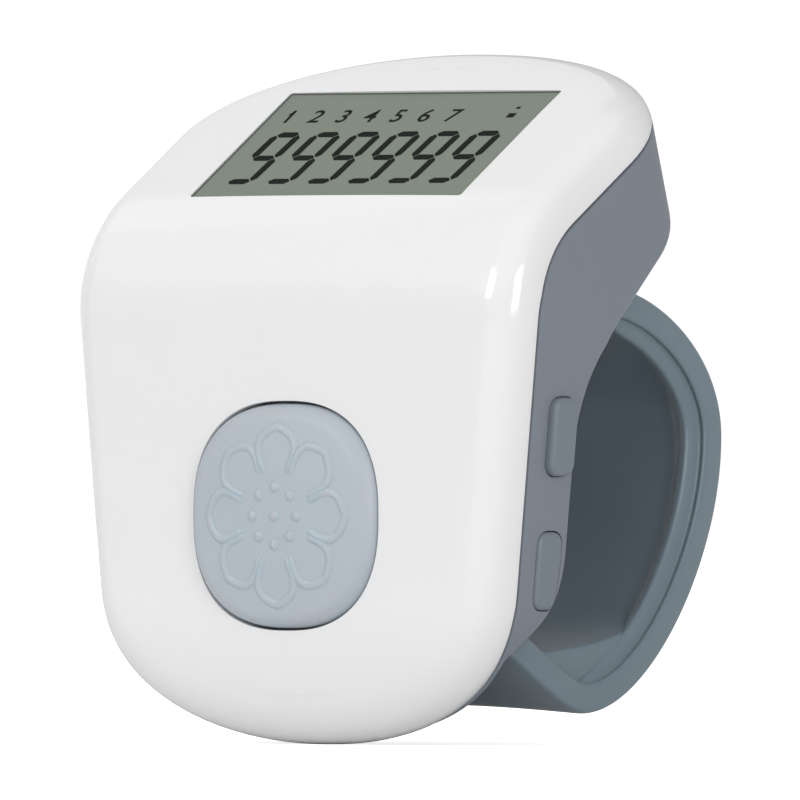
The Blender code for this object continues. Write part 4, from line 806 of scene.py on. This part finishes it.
BUTTON_TOP = COVER_FACE + BUTTON_PROUD
FLANGE_TOP = COVER_INSIDE - COVER_CROWN - FLANGE_CLEAR
FLANGE_LOW = FLANGE_TOP - BUTTON_FLANGE_THICK


def button_ring(width, length, level):
    """The button's outline at this size and level."""
    return [LOWER_PANEL @ Vector((x, y + BUTTON_HEIGHT_Z, level)) for x, y in oval(width, length)]


def hole_cutter():
    """The button's hole, with a mouth that rounds the cover's edge."""
    builder = bmesh.new()
    steps = [(0.0, -SEAM), (0.0, COVER_FACE - HOLE_ROUND)]
    for k in range(1, HOLE_STEPS + 1):
        turn = pi / 2 * k / HOLE_STEPS
        level = COVER_FACE - HOLE_ROUND * (1 - sin(turn))
        steps.append((HOLE_ROUND * (1 - cos(turn)), level))
    steps += [(2 * HOLE_ROUND, COVER_FACE + SEAT), (2 * HOLE_ROUND, BUTTON_TOP)]
    rings = []
    for grow, level in steps:
        width = BUTTON_WIDTH + 2 * (BUTTON_SIDE_GAP + grow)
        length = BUTTON_LENGTH + 2 * (BUTTON_END_GAP + grow)
        rings.append(button_ring(width, length, level))
    ring_skin(builder, rings)
    close_ends(builder)
    return finished("button_hole", builder, COVER_WHITE)


def crown_level(x, y):
    """The button's domed face, as a level over the lower panel."""
    half_x = BUTTON_WIDTH / 2 - BUTTON_SHOULDER
    half_y = BUTTON_LENGTH / 2 - BUTTON_SHOULDER
    reach = abs(x / half_x) ** BUTTON_POWER + abs(y / half_y) ** BUTTON_POWER
    return BUTTON_TOP - BUTTON_DOME * min(reach ** (2 / BUTTON_POWER), 1.0)


def on_button(x, y, lift=0.0):
    """A place on the button's face, or this much over it."""
    return LOWER_PANEL @ Vector((x, y + BUTTON_HEIGHT_Z, crown_level(x, y) + lift))


def make_count_button():
    """The thumb button, from its flange over its shoulder to its domed face."""
    builder = bmesh.new()
    steps = [
        (-BUTTON_WIDTH * BUTTON_BORE_SHARE, FLANGE_LOW), (BUTTON_FLANGE, FLANGE_LOW),
        (BUTTON_FLANGE, FLANGE_TOP), (0.0, FLANGE_TOP),
    ]
    for k in range(SHOULDER_STEPS + 1):
        turn = pi / 2 * k / SHOULDER_STEPS
        inset = BUTTON_SHOULDER * (1 - cos(turn))
        steps.append((-inset, BUTTON_TOP - BUTTON_DOME - BUTTON_SHOULDER * (1 - sin(turn))))
    rings = [
        button_ring(BUTTON_WIDTH + 2 * grow, BUTTON_LENGTH + 2 * grow, level)
        for grow, level in steps
    ]
    face = oval(BUTTON_WIDTH - 2 * BUTTON_SHOULDER, BUTTON_LENGTH - 2 * BUTTON_SHOULDER)
    for k in range(1, DOME_STEPS + 1):
        share = 1 - k / DOME_STEPS
        rings.append([on_button(x * share, y * share) for x, y in face])
    ring_skin(builder, rings)
    close_ends(builder)
    return finished("count_button_cap", builder, BUTTON_FROST)


PETALS = 8
PETAL_INNER = 2.55 * MM
PETAL_OUTER = 5.2 * MM
PETAL_HALF = 1.42 * MM
PETAL_FOOT = 0.6
PETAL_SIDE_STEPS = 6
PETAL_TIP_SHARE = 0.8
PETAL_TIP_STEPS = 9
PETAL_POINT = 0.14 * MM
PETAL_POINT_POWER = 3
RIDGE = 0.42 * MM
RIDGE_SINK = 0.71
RIDGE_FADE = (0.3, 0.1)
RIDGE_ROUND_STEPS = 3
RIDGE_PATH_STEPS = 2
DOT_RING = 1.73 * MM
DOT_RADIUS = 0.48 * MM
DOT_SINK = 0.64
DOT_GRID = (16, 10)


def ridge(name, path):
    """A round ridge along a path on the button's face."""
    curve = bpy.data.curves.new(name, "CURVE")
    curve.dimensions = "3D"
    curve.bevel_depth = RIDGE
    curve.bevel_resolution = RIDGE_ROUND_STEPS
    curve.use_fill_caps = True
    curve.resolution_u = RIDGE_PATH_STEPS
    line = curve.splines.new("BEZIER")
    line.bezier_points.add(len(path) - 1)
    for k, (spot, (x, y)) in enumerate(zip(line.bezier_points, path)):
        from_end = min(k, len(path) - 1 - k)
        fade = RIDGE_FADE[from_end] if from_end < len(RIDGE_FADE) else 0.0
        spot.co = on_button(x, y, -(RIDGE_SINK + fade) * RIDGE)
        spot.handle_left_type = spot.handle_right_type = "AUTO"
    return curve_mesh(curve)


def half_petal():
    """Half a petal's line from its open foot to near its tip, as (reach, side)."""
    middle = PETAL_OUTER - PETAL_TIP_SHARE * PETAL_HALF
    line = []
    for k in range(PETAL_SIDE_STEPS):
        share = k / PETAL_SIDE_STEPS
        side = PETAL_FOOT + (1 - PETAL_FOOT) * sin(share * pi / 2)
        line.append((PETAL_INNER + (middle - PETAL_INNER) * share, side * PETAL_HALF))
    for k in range(PETAL_TIP_STEPS):
        turn = pi / 2 * k / PETAL_TIP_STEPS
        point = PETAL_POINT * (1 - cos(turn)) ** PETAL_POINT_POWER
        reach = middle + (PETAL_OUTER - middle) * sin(turn) + point
        line.append((reach, cos(turn) * PETAL_HALF))
    return line


def make_relief():
    """Eight petals round a ring of dots, raised on the button's face."""
    builder = bmesh.new()
    half = half_petal()
    petal = half + [(PETAL_OUTER + PETAL_POINT, 0.0)] + [(r, -t) for r, t in half[::-1]]
    for k in range(PETALS):
        turn = 2 * pi * k / PETALS + pi / 2
        c, s = cos(turn), sin(turn)
        mesh = ridge(f"petal_{k}", [(r * c - t * s, r * s + t * c) for r, t in petal])
        builder.from_mesh(mesh)
        bpy.data.meshes.remove(mesh)
    turns = [2 * pi * k / PETALS for k in range(PETALS)]
    around, up = DOT_GRID
    for x, y in [(0.0, 0.0)] + [(DOT_RING * cos(t), DOT_RING * sin(t)) for t in turns]:
        made = bmesh.ops.create_uvsphere(
            builder, u_segments=around, v_segments=up, radius=DOT_RADIUS
        )["verts"]
        middle = on_button(x, y, -DOT_SINK * DOT_RADIUS)
        bmesh.ops.translate(builder, verts=made, vec=middle)
    return finished("count_button_relief", builder, BUTTON_FROST, RELIEF_SHARP)


button = make_count_button()
relief = make_relief()


# Display: the window with its face, its numbers and its digits


# Painted shade: width and top of the dark line that lines the display opening's wall in place of
# its shadow.
SHADE_LINE_WIDTH = 0.09 * MM
SHADE_LINE_TOP = COVER_RISE - 0.01 * MM
FACE_GAP = 0.02 * MM
INK = 0.012 * MM
DIGITS = 6
DIGIT_PITCH = 3.16 * MM
DIGIT_FIRST_X = -7.92 * MM
DIGIT_LOW = 0.62 * MM
DIGIT_HEIGHT = 5.71 * MM
DIGIT_HALF = 0.9 * MM
DIGIT_SLANT = 0.055
STROKE = 0.56 * MM
STROKE_GAP = 0.06 * MM
MARKS = (
    (0.58 * MM, 0.46 * MM, 8.45 * MM, 8.02 * MM),
    (0.3 * MM, 0.22 * MM, 8.45 * MM, 8.85 * MM),
)
LABELS = 7
LABEL_RUN = 8.0 * MM
LABEL_FIRST_X = -9.05 * MM
LABEL_PITCH = 2.15 * MM
LABEL_SIZE = 1.92 * MM
LABEL_WEIGHT = 0.018 * MM
LABEL_CURVE_STEPS = 4
FLAG = 0.36 * MM
FLAG_WEIGHT = 0.19 * MM
FLAG_ROOT = 1.5 * FLAG_WEIGHT


def window_outline(grow, corner=WINDOW_CORNER):
    """The display's opening, made larger by this much on each side."""
    width, length = WINDOW_WIDTH + 2 * grow, WINDOW_LENGTH + 2 * grow
    return rounded(width, length, corner, 0.0, WINDOW_RUN)


def make_window():
    """The display's window: a seat inside the cover, and a face raised into the opening."""
    builder = bmesh.new()
    seat = window_outline(WINDOW_LEDGE, WINDOW_CORNER + SEAT)
    slab(builder, seat, LENS_LOW, LENS_TOP, UPPER_PANEL)
    raised = window_outline(-FACE_GAP, WINDOW_CORNER - FACE_GAP)
    slab(builder, raised, LENS_TOP, LENS_FACE, UPPER_PANEL)
    return finished("display_window", builder, DISPLAY_FACE)


def make_window_wall_shade():
    """A dark line round the display's face, raised up the opening's wall to just under the cover's
    face: painted shade standing in for the shadow on that wall.
    """
    builder = bmesh.new()
    width = WINDOW_WIDTH - 2 * FACE_GAP
    length = WINDOW_LENGTH - 2 * FACE_GAP
    for sign in (1, -1):
        y = WINDOW_RUN + sign * (length / 2 - SHADE_LINE_WIDTH / 2)
        x = sign * (width / 2 - SHADE_LINE_WIDTH / 2)
        level_bar = rectangle(width, SHADE_LINE_WIDTH, 0.0, y)
        upright_bar = rectangle(SHADE_LINE_WIDTH, length - 2 * SHADE_LINE_WIDTH, x, WINDOW_RUN)
        for outline in (level_bar, upright_bar):
            slab(builder, outline, LENS_FACE - INK, SHADE_LINE_TOP, UPPER_PANEL)
    return finished("display_wall_shade_line", builder, DISPLAY_WALL_SHADE)


def ink(builder, outline):
    """A thin print on the display's face."""
    slab(builder, outline, LENS_FACE - INK, LENS_FACE + INK, UPPER_PANEL)


def stroke(builder, start, end, shift):
    """One bar of a digit: long, with pointed ends, slanted with the digit."""
    (x0, y0), (x1, y1) = start, end
    length = hypot(x1 - x0, y1 - y0)
    ax, ay = (x1 - x0) / length, (y1 - y0) / length
    half, gap = STROKE / 2, STROKE_GAP
    outline = []
    for along, side in (
        (gap, 0.0), (gap + half, half), (length - gap - half, half),
        (length - gap, 0.0), (length - gap - half, -half), (gap + half, -half),
    ):
        x = x0 + ax * along - ay * side
        y = y0 + ay * along + ax * side
        outline.append((shift + x + DIGIT_SLANT * (y - DIGIT_HEIGHT / 2), DIGIT_LOW + y))
    ink(builder, outline)


def make_digits():
    """Six nines of six bars each, and the two marks at their right."""
    builder = bmesh.new()
    low, middle, high = STROKE / 2, DIGIT_HEIGHT / 2, DIGIT_HEIGHT - STROKE / 2
    left, right = -DIGIT_HALF, DIGIT_HALF
    for k in range(DIGITS):
        shift = DIGIT_FIRST_X + DIGIT_PITCH * k
        for start, end in (
            ((left, high), (right, high)),
            ((left, middle), (left, high)),
            ((right, middle), (right, high)),
            ((left, middle), (right, middle)),
            ((right, low), (right, middle)),
            ((left, low), (right, low)),
        ):
            stroke(builder, start, end, shift)
    for mark in MARKS:
        ink(builder, rectangle(*mark))
    return finished("display_digits", builder, DISPLAY_INK)


def make_labels():
    """The small numbers over the digits; the 1 gets a heavier flag."""
    builder = bmesh.new()
    for k in range(LABELS):
        curve = bpy.data.curves.new("label", "FONT")
        curve.body = str(k + 1)
        curve.size = LABEL_SIZE
        curve.offset = LABEL_WEIGHT
        curve.align_x = "CENTER"
        curve.align_y = "CENTER"
        curve.extrude = INK
        curve.resolution_u = LABEL_CURVE_STEPS
        mesh = curve_mesh(curve)
        middle = (LABEL_FIRST_X + LABEL_PITCH * k, LABEL_RUN, LENS_FACE)
        matrix = UPPER_PANEL @ Matrix.Translation(middle)
        if k == 0:
            right, high = (max(v.co[axis] for v in mesh.vertices) for axis in (0, 1))
            flag = [
                (right, high), (right - FLAG, high - FLAG),
                (right - FLAG, high - FLAG - FLAG_WEIGHT), (right, high - FLAG_ROOT),
            ]
            slab(builder, flag, -INK, INK, matrix)
        mesh.transform(matrix)
        builder.from_mesh(mesh)
        bpy.data.meshes.remove(mesh)
    return finished("display_numbers", builder, DISPLAY_INK)


window = make_window()
# Painted shade: the dark lining of the display opening's wall.
window_wall_shade = make_window_wall_shade()
digits = make_digits()
labels = make_labels()


# Openings in the cover


def window_cutters():
    """The display's opening, and the pocket behind it that takes the window's seat."""
    pocket = window_outline(WINDOW_LEDGE + SEAT)
    return [
        cutter("window_hole", window_outline(0.0), -SEAM, COVER_FACE + CUT_OVER, UPPER_PANEL),
        cutter("window_pocket", pocket, LENS_LOW - POCKET_UNDER, LENS_TOP + SEAT, UPPER_PANEL),
    ]


carve(cover, [hole_cutter()] + window_cutters())


# Side buttons


TAPER_TILT = atan((HALF_WIDTH - LOW_HALF_WIDTH) / (TAPER_END - LOW_CORNER))


def side_frame(height, depth):
    """A frame on the right wall, with Z out of the wall, X down and Y towards the finger side."""
    run = CURL_RUN + height - CURL_TOP
    turn = Matrix.Rotation(pi / 2 + TAPER_TILT, 4, "Y")
    return TO_ROW @ Matrix.Translation((half_width(run), depth, height)) @ turn


def make_side_button(name, seat, proud, sweep):
    """A side button's cap, from inside its pocket to its rounded face."""
    builder = bmesh.new()
    outline = rounded(SIDE_BUTTON_LENGTH, SIDE_BUTTON_WIDTH, SIDE_BUTTON_CORNER, sweep=sweep)
    tops = slab(builder, outline, -SIDE_POCKET, proud, seat)
    round_top(builder, tops, SIDE_SHOULDER, SIDE_SHOULDER_STEPS)
    return finished(name, builder, SIDE_GREY)


def side_cutter(name, seat, sweep):
    """The pocket of a side button."""
    gap = SIDE_BUTTON_GAP
    length, width = SIDE_BUTTON_LENGTH + 2 * gap, SIDE_BUTTON_WIDTH + 2 * gap
    outline = rounded(length, width, SIDE_BUTTON_CORNER + gap, sweep=sweep)
    return cutter(name, outline, -SIDE_POCKET, SIDE_CUT_OVER, seat)


UPPER_SEAT = side_frame(UPPER_SIDE_Z, SIDE_BUTTON_DEPTH)
LOWER_SEAT = side_frame(LOWER_SIDE_Z, SIDE_BUTTON_DEPTH - LOWER_SIDE_FORWARD)
upper_side = make_side_button("upper_side_cap", UPPER_SEAT, UPPER_SIDE_PROUD, 0.0)
lower_side = make_side_button("lower_side_cap", LOWER_SEAT, LOWER_SIDE_PROUD, LOWER_SIDE_SWEEP)


# Openings in the housing: side buttons, screws, battery door and strap slots


def chin_point(along, inside):
    """A place on the chin, up it from the foot of its arc, and inside its face."""
    foot = (
        SADDLE_DEPTH - CHIN_RADIUS * (1 - cos(CHIN_TURN)),
        CHIN_CENTRE[1] - CHIN_RADIUS * sin(CHIN_TURN),
    )
    return (
        foot[0] + along * cos(CHIN_ANGLE) - inside * sin(CHIN_ANGLE),
        foot[1] + along * sin(CHIN_ANGLE) + inside * cos(CHIN_ANGLE),
    )


def housing_cutters():
    """All that is cut out of the housing."""
    made = [
        side_cutter("upper_side_pocket", UPPER_SEAT, 0.0),
        side_cutter("lower_side_pocket", LOWER_SEAT, LOWER_SIDE_SWEEP),
    ]
    low = -SCREW_SINK - SCREW_HEAD - SEAT
    top_y = TOP_SCREW_FROM_END - BAY_FROM_END
    for name, x, y, matrix in (
        ("low_left", -SCREW_X, -SCREW_Z, SADDLE),
        ("low_right", SCREW_X, -SCREW_Z, SADDLE),
        ("top_left", -TOP_SCREW_X, top_y, BAY),
        ("top_right", TOP_SCREW_X, top_y, BAY),
    ):
        made.append(cutter(f"recess_{name}", screw_circle(x, y), low, CUT_OVER, matrix))
    recess = rounded(
        DOOR_WIDTH + 2 * DOOR_GAP, DOOR_LENGTH + 2 * DOOR_GAP, DOOR_CORNER + DOOR_GAP, DOOR_X, 0.0
    )
    made.append(cutter("door_recess", recess, -DOOR_THICK - SEAT, CUT_OVER, BAY))
    across = Matrix.Rotation(pi / 2, 4, "Y")
    width = STRAP_TAB_THICK + 2 * STRAP_SLOT_GAP
    top_slot = rounded(width, STRAP_SLOT_REACH, STRAP_SLOT_CORNER)
    half = STRAP_TOP_TAB + STRAP_SLOT_GAP
    top_place = TO_ROW @ Matrix.Translation((0.0, slope_depth(BAR_Z), BAR_Z)) @ across
    made.append(cutter("strap_top_slot", top_slot, -half, half, top_place))
    low_slot = rounded(width, 3 * HOUSING_WALL, STRAP_SLOT_CORNER)
    half = STRAP_LOW_TAB + STRAP_SLOT_GAP
    low_place = TO_ROW @ Matrix.Translation((0.0, *chin_point(STRAP_ROOT_UP, 0.0)))
    low_place = low_place @ Matrix.Rotation(-STRAP_LEAN, 4, "X") @ across
    made.append(cutter("strap_low_slot", low_slot, -half, half, low_place))
    return made


carve(housing, housing_cutters())


def make_door():
    """The battery door with its screw's recess."""
    builder = bmesh.new()
    outline = rounded(DOOR_WIDTH, DOOR_LENGTH, DOOR_CORNER, DOOR_X, 0.0)
    tops = slab(builder, outline, -DOOR_THICK, 0.0, BAY)
    round_top(builder, tops, DOOR_ROUND, DOOR_ROUND_STEPS)
    made = finished("battery_door_plate", builder, HOUSING_GREY)
    sink = screw_circle(DOOR_SCREW_X, 0.0)
    carve(made, [cutter("door_sink", sink, -DOOR_THICK * DOOR_SINK_SHARE, CUT_OVER, BAY)])
    return made


door = make_door()


# Strap


def strap_path():
    """The strap's outer face seen from the side, from its upper bar to its low head."""
    top_face = slope_depth(STRAP_TOP_Z) + SEAT
    top = [(BAR_Y, STRAP_TOP_Z), (top_face, STRAP_TOP_Z), (top_face + SEAT, STRAP_TOP_Z)]
    way = (cos(STRAP_LEAN), -sin(STRAP_LEAN))
    middle = chin_point(STRAP_ROOT_UP, 0.0)
    root = (middle[0] + way[1] * STRAP_THICK / 2, middle[1] - way[0] * STRAP_THICK / 2)

    def out(distance):
        return root[0] + distance * way[0], root[1] + distance * way[1]

    inside = -(HOUSING_WALL + SEAT + STRAP_HEAD_THICK / 2)
    foot_y, foot_z = STRAP_FOOT
    apex_y = STRAP_APEX[0]
    points = top + cubic(
        top[-1], (apex_y - STRAP_CORNER_IN, STRAP_TOP_Z),
        (apex_y, STRAP_TOP_Z - STRAP_CORNER_DOWN), STRAP_APEX, STRAP_STEPS,
    )
    points += cubic(
        STRAP_APEX, (apex_y, foot_z + STRAP_LOW_CORNER_UP),
        (apex_y - STRAP_LOW_CORNER_IN, foot_z), STRAP_FOOT, STRAP_STEPS,
    )
    points += cubic(
        STRAP_FOOT, (foot_y - STRAP_ROOT_BEND, foot_z),
        out(STRAP_ROOT_STRAIGHT + STRAP_ROOT_BEND), out(STRAP_ROOT_STRAIGHT), STRAP_ROOT_STEPS,
    )
    return points + [out(STRAP_ROOT_STRAIGHT / 2), out(4 * SEAT), out(3 * SEAT), out(inside)]


def strap_section(half, thick, bead, dip, skip):
    """Half the band's section, from outer face over side and bead to inner face: (x, depth)."""
    reach = BEAD_REACH
    groove = BEAD_GROOVE * bead / BEAD_HEIGHT
    shape = [
        (0.0, dip),
        (half * 0.3, dip * 0.93),
        (half * 0.6, dip * 0.65),
        (half - 0.5 * reach, 0.1 * dip),
        (half - 1.6 * STRAP_EDGE, 0.0),
        (half - 0.6 * STRAP_EDGE, 0.12 * STRAP_EDGE),
        (half - 0.1 * STRAP_EDGE, 0.6 * STRAP_EDGE),
        (half, 1.5 * STRAP_EDGE),
        (half, thick * 0.72),
        (half - 0.02 * reach, thick * 0.92),
        (half - 0.1 * reach, thick),
        (half - 0.17 * reach, thick - groove),
        (half - 0.25 * reach, thick - 0.6 * groove),
        (half - 0.31 * reach, thick + 0.5 * bead),
        (half - 0.38 * reach, thick + 0.9 * bead),
        (half - 0.48 * reach, thick + bead),
        (half - 0.62 * reach, thick + 0.85 * bead),
        (half - 0.82 * reach, thick + 0.35 * bead),
        (half - reach, thick + 0.08 * bead),
        (half - 1.3 * reach, thick),
        (half * 0.3, thick),
        (0.0, thick),
    ]
    return [(x, skip + depth) for x, depth in shape]


def make_strap():
    """The band as sections along its path, and the floor in its lower corner."""
    path = strap_path()
    last = len(path) - 1
    lengths = [0.0]
    for (y0, z0), (y1, z1) in zip(path, path[1:]):
        lengths.append(lengths[-1] + hypot(y1 - y0, z1 - z0))
    sections, core = [], []
    for k, (y, z) in enumerate(path):
        y0, z0 = path[max(k - 1, 0)]
        y1, z1 = path[min(k + 1, last)]
        length = hypot(y1 - y0, z1 - z0)
        in_y, in_z = (z1 - z0) / length, -(y1 - y0) / length
        done, left = lengths[k] - lengths[2], lengths[last - 2] - lengths[k]
        share = smooth_step(min(done, left) / STRAP_SHOULDER)
        half = STRAP_ROOT_HALF_WIDTH + (STRAP_HALF_WIDTH - STRAP_ROOT_HALF_WIDTH) * share
        thick, skip = STRAP_THICK, 0.0
        if k < 2 or k > last - 2:
            half = STRAP_TOP_TAB if k < 2 else STRAP_LOW_TAB
            thick = STRAP_TAB_THICK
            skip = (STRAP_THICK - STRAP_TAB_THICK) / 2
        fade = smooth_step(min(done / STRAP_SHOULDER, (left - BEAD_LOW_END) / BEAD_LOW_FADE))
        bead = BEAD_HEIGHT * max(fade, BEAD_LEAST)
        if left < FILL_REACH and k < last - 2:
            core.append((y + in_y * thick / 2, z + in_z * thick / 2))
            if len(core) == 1:
                end = (y + in_y * thick, z + in_z * thick)
                bend = (end[0] - in_z * FILL_BEND, end[1] + in_y * FILL_BEND)
        loop = both_sides(strap_section(half, thick, bead, STRAP_DIP * share, skip))
        sections.append([TO_ROW @ Vector((x, y + in_y * d, z + in_z * d)) for x, d in loop])
    builder = bmesh.new()
    ring_skin(builder, sections)
    close_ends(builder)
    band = finished("finger_strap_band", builder, SILICONE, STRAP_SHARP)
    smooth = band.modifiers.new("rounding", "SUBSURF")
    smooth.levels = smooth.render_levels = STRAP_SUBDIVIDE
    start = FILL_START
    pull = (start[0] + FILL_PULL[0], start[1] + FILL_PULL[1])
    return band, make_corner_fill(core + [start] + cubic(start, pull, bend, end, STRAP_STEPS))


def make_corner_fill(outline):
    """The rounded floor in the band's lower corner, set back from its edges."""
    builder = bmesh.new()
    upright = Matrix(((0, 0, 1, 0), (1, 0, 0, 0), (0, 1, 0, 0), (0, 0, 0, 1)))
    half = STRAP_ROOT_HALF_WIDTH - FILL_INSET
    slab(builder, outline, -half, half, TO_ROW @ upright)
    folds = [
        edge for edge in builder.edges
        if len(edge.link_faces) == 2 and edge.calc_face_angle() > FILL_FOLD
    ]
    round_edges(builder, folds, FILL_ROUND, FILL_STEPS)
    return finished("finger_strap_floor", builder, SILICONE, FILL_SHARP)


strap, strap_floor = make_strap()


# Which piece goes with which body, and which node it stands for


for piece, body, node, slot in (
    (cover, "case", "top_cover", "white_gloss"),
    (housing, "case", "lower_housing", "grey_housing"),
    (door, "case", "battery_door", "grey_housing"),
    (strap, "case", "finger_strap", "strap_silicone"),
    (strap_floor, "case", None, "strap_silicone"),
    (window, "case", "window_lens", "clear_window"),
    (window_wall_shade, "case", None, "display_glass"),
    (digits, "case", None, "display_glass"),
    (labels, "case", None, "display_glass"),
    (button, "count_button", "count_button", "count_button_grey"),
    (relief, "count_button", None, "count_button_grey"),
    (upper_side, "upper_side_button", "upper_side_button", "side_button_grey"),
    (lower_side, "lower_side_button", "lower_side_button", "side_button_grey"),
):
    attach(piece, body)
    if node:
        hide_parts(node)


for material, nodes in (
    (GLASS_EDGE, ("display_front_glass", "display_rear_glass")),
    (DISPLAY_FACE, ("display_reflector",)),
    (INNER_WHITE, ("display_frame",)),
    (FILM, ("display_ribbon",)),
    (BOARD, ("main_board",)),
    (RESIN, ("driver_chip",)),
    (BLACK_PLASTIC, ("count_switch", "upper_side_switch", "lower_side_switch")),
    (CELL_STEEL, ("button_cell",)),
    (RED_WIRE, ("battery_wire_plus",)),
    (BLACK_WIRE, ("battery_wire_minus",)),
    (STEEL, (
        "count_switch_plunger", "upper_side_switch_plunger", "lower_side_switch_plunger",
        "battery_plus_contact", "battery_minus_contact", "battery_door_screw",
        "case_screw_low_left", "case_screw_low_right",
        "case_screw_top_left", "case_screw_top_right",
    )),
):
    for node in nodes:
        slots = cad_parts[node].data.materials
        slots.clear()
        slots.append(material)


# Stage: floor, lights and camera


CAMERA_TURN = radians(40)
CAMERA_LENS = 1200.0
CAMERA_SENSOR = 36.0
CAMERA_CLIP = (0.05, 8.0)
PICTURE_WIDTH = 48.485 * MM
PICTURE_RIGHT = -2.61 * MM
PICTURE_HEIGHT = 20.73 * MM
WORLD_LIGHT = 0.5
WORLD_SEEN = 1.05
FLOOR_RADIUS = 2.6
FLOOR_SIDES = 96
FLOOR_WHITE = 0.86
FLOOR_GLOW = 0.75
LIGHTS = (
    ("key_left", (-0.35, -0.78, 0.36), (0.3, 0.3), 1.8),
    ("fill_right", (0.8, -0.4, 0.12), (0.3, 0.6), 3.7),
    ("rim_left", (-0.8, 0.25, 0.4), (1.0, 1.0), 1.1),
)
OVERHEAD_POWER = 0.6
OVERHEAD_SPREAD = radians(100)
OVERHEAD_TURN = (radians(25), 0.0, radians(-10))


def make_floor():
    """A pale round floor under the object, lit a little where the camera sees it."""
    builder = bmesh.new()
    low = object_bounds()[0].z
    bmesh.ops.create_circle(builder, cap_ends=True, segments=FLOOR_SIDES, radius=FLOOR_RADIUS)
    bmesh.ops.translate(builder, verts=builder.verts[:], vec=(0.0, 0.0, low))
    white = finish(
        "floor_white", (FLOOR_WHITE,) * 3, 0.9, 0.02, 0.0, 0.0, Emission_Color=(1.0,) * 4
    )
    tree = white.node_tree
    shader = tree.nodes["Principled BSDF"]
    seen = tree.nodes.new("ShaderNodeLightPath")
    glow = tree.nodes.new("ShaderNodeMath")
    glow.operation = "MULTIPLY"
    glow.inputs[1].default_value = FLOOR_GLOW
    join(seen, "Is Camera Ray", glow, 0)
    join(glow, "Value", shader, "Emission Strength")
    finished("floor", builder, white)


def soft_light(name, where, size, power):
    """A soft box that points at the object's middle."""
    lamp = bpy.data.lights.new(name, "AREA")
    lamp.shape = "RECTANGLE"
    lamp.size, lamp.size_y = size
    lamp.energy = power
    holder = put(name, lamp)
    holder.location = where
    holder.rotation_euler = (-Vector(where)).to_track_quat("-Z", "Y").to_euler()
    holder.visible_camera = False


def overhead_light():
    """Broad light from above."""
    lamp = bpy.data.lights.new("overhead", "SUN")
    lamp.energy = OVERHEAD_POWER
    lamp.angle = OVERHEAD_SPREAD
    put("overhead", lamp).rotation_euler = OVERHEAD_TURN


def make_world():
    """White surroundings, brighter where the camera sees them."""
    world = bpy.data.worlds.new("studio")
    world.use_nodes = True
    tree = world.node_tree
    back = tree.nodes["Background"]
    give(back, Color=(1.0,) * 4)
    seen = tree.nodes.new("ShaderNodeLightPath")
    level = tree.nodes.new("ShaderNodeMapRange")
    give(level, To_Min=WORLD_LIGHT, To_Max=WORLD_SEEN)
    join(seen, "Is Camera Ray", level, "Value")
    join(level, "Result", back, "Strength")
    bpy.context.scene.world = world


def make_camera():
    """A level camera with a long lens, 40 degrees round from the cover's front."""
    lens = bpy.data.cameras.new("camera")
    lens.lens = CAMERA_LENS
    lens.sensor_width = CAMERA_SENSOR
    lens.clip_start, lens.clip_end = CAMERA_CLIP
    holder = put("camera", lens)
    right = Vector((cos(CAMERA_TURN), sin(CAMERA_TURN), 0.0))
    back = Vector((sin(CAMERA_TURN), -cos(CAMERA_TURN), 0.0))
    middle = right * PICTURE_RIGHT + Vector((0.0, 0.0, PICTURE_HEIGHT - LOOP_Z))
    holder.location = middle + back * (PICTURE_WIDTH * lens.lens / lens.sensor_width)
    holder.rotation_euler = (-back).to_track_quat("-Z", "Y").to_euler()
    bpy.context.scene.camera = holder


make_floor()
make_world()
make_camera()
for light in LIGHTS:
    soft_light(*light)
overhead_light()
bpy.context.scene.view_settings.view_transform = "Standard"
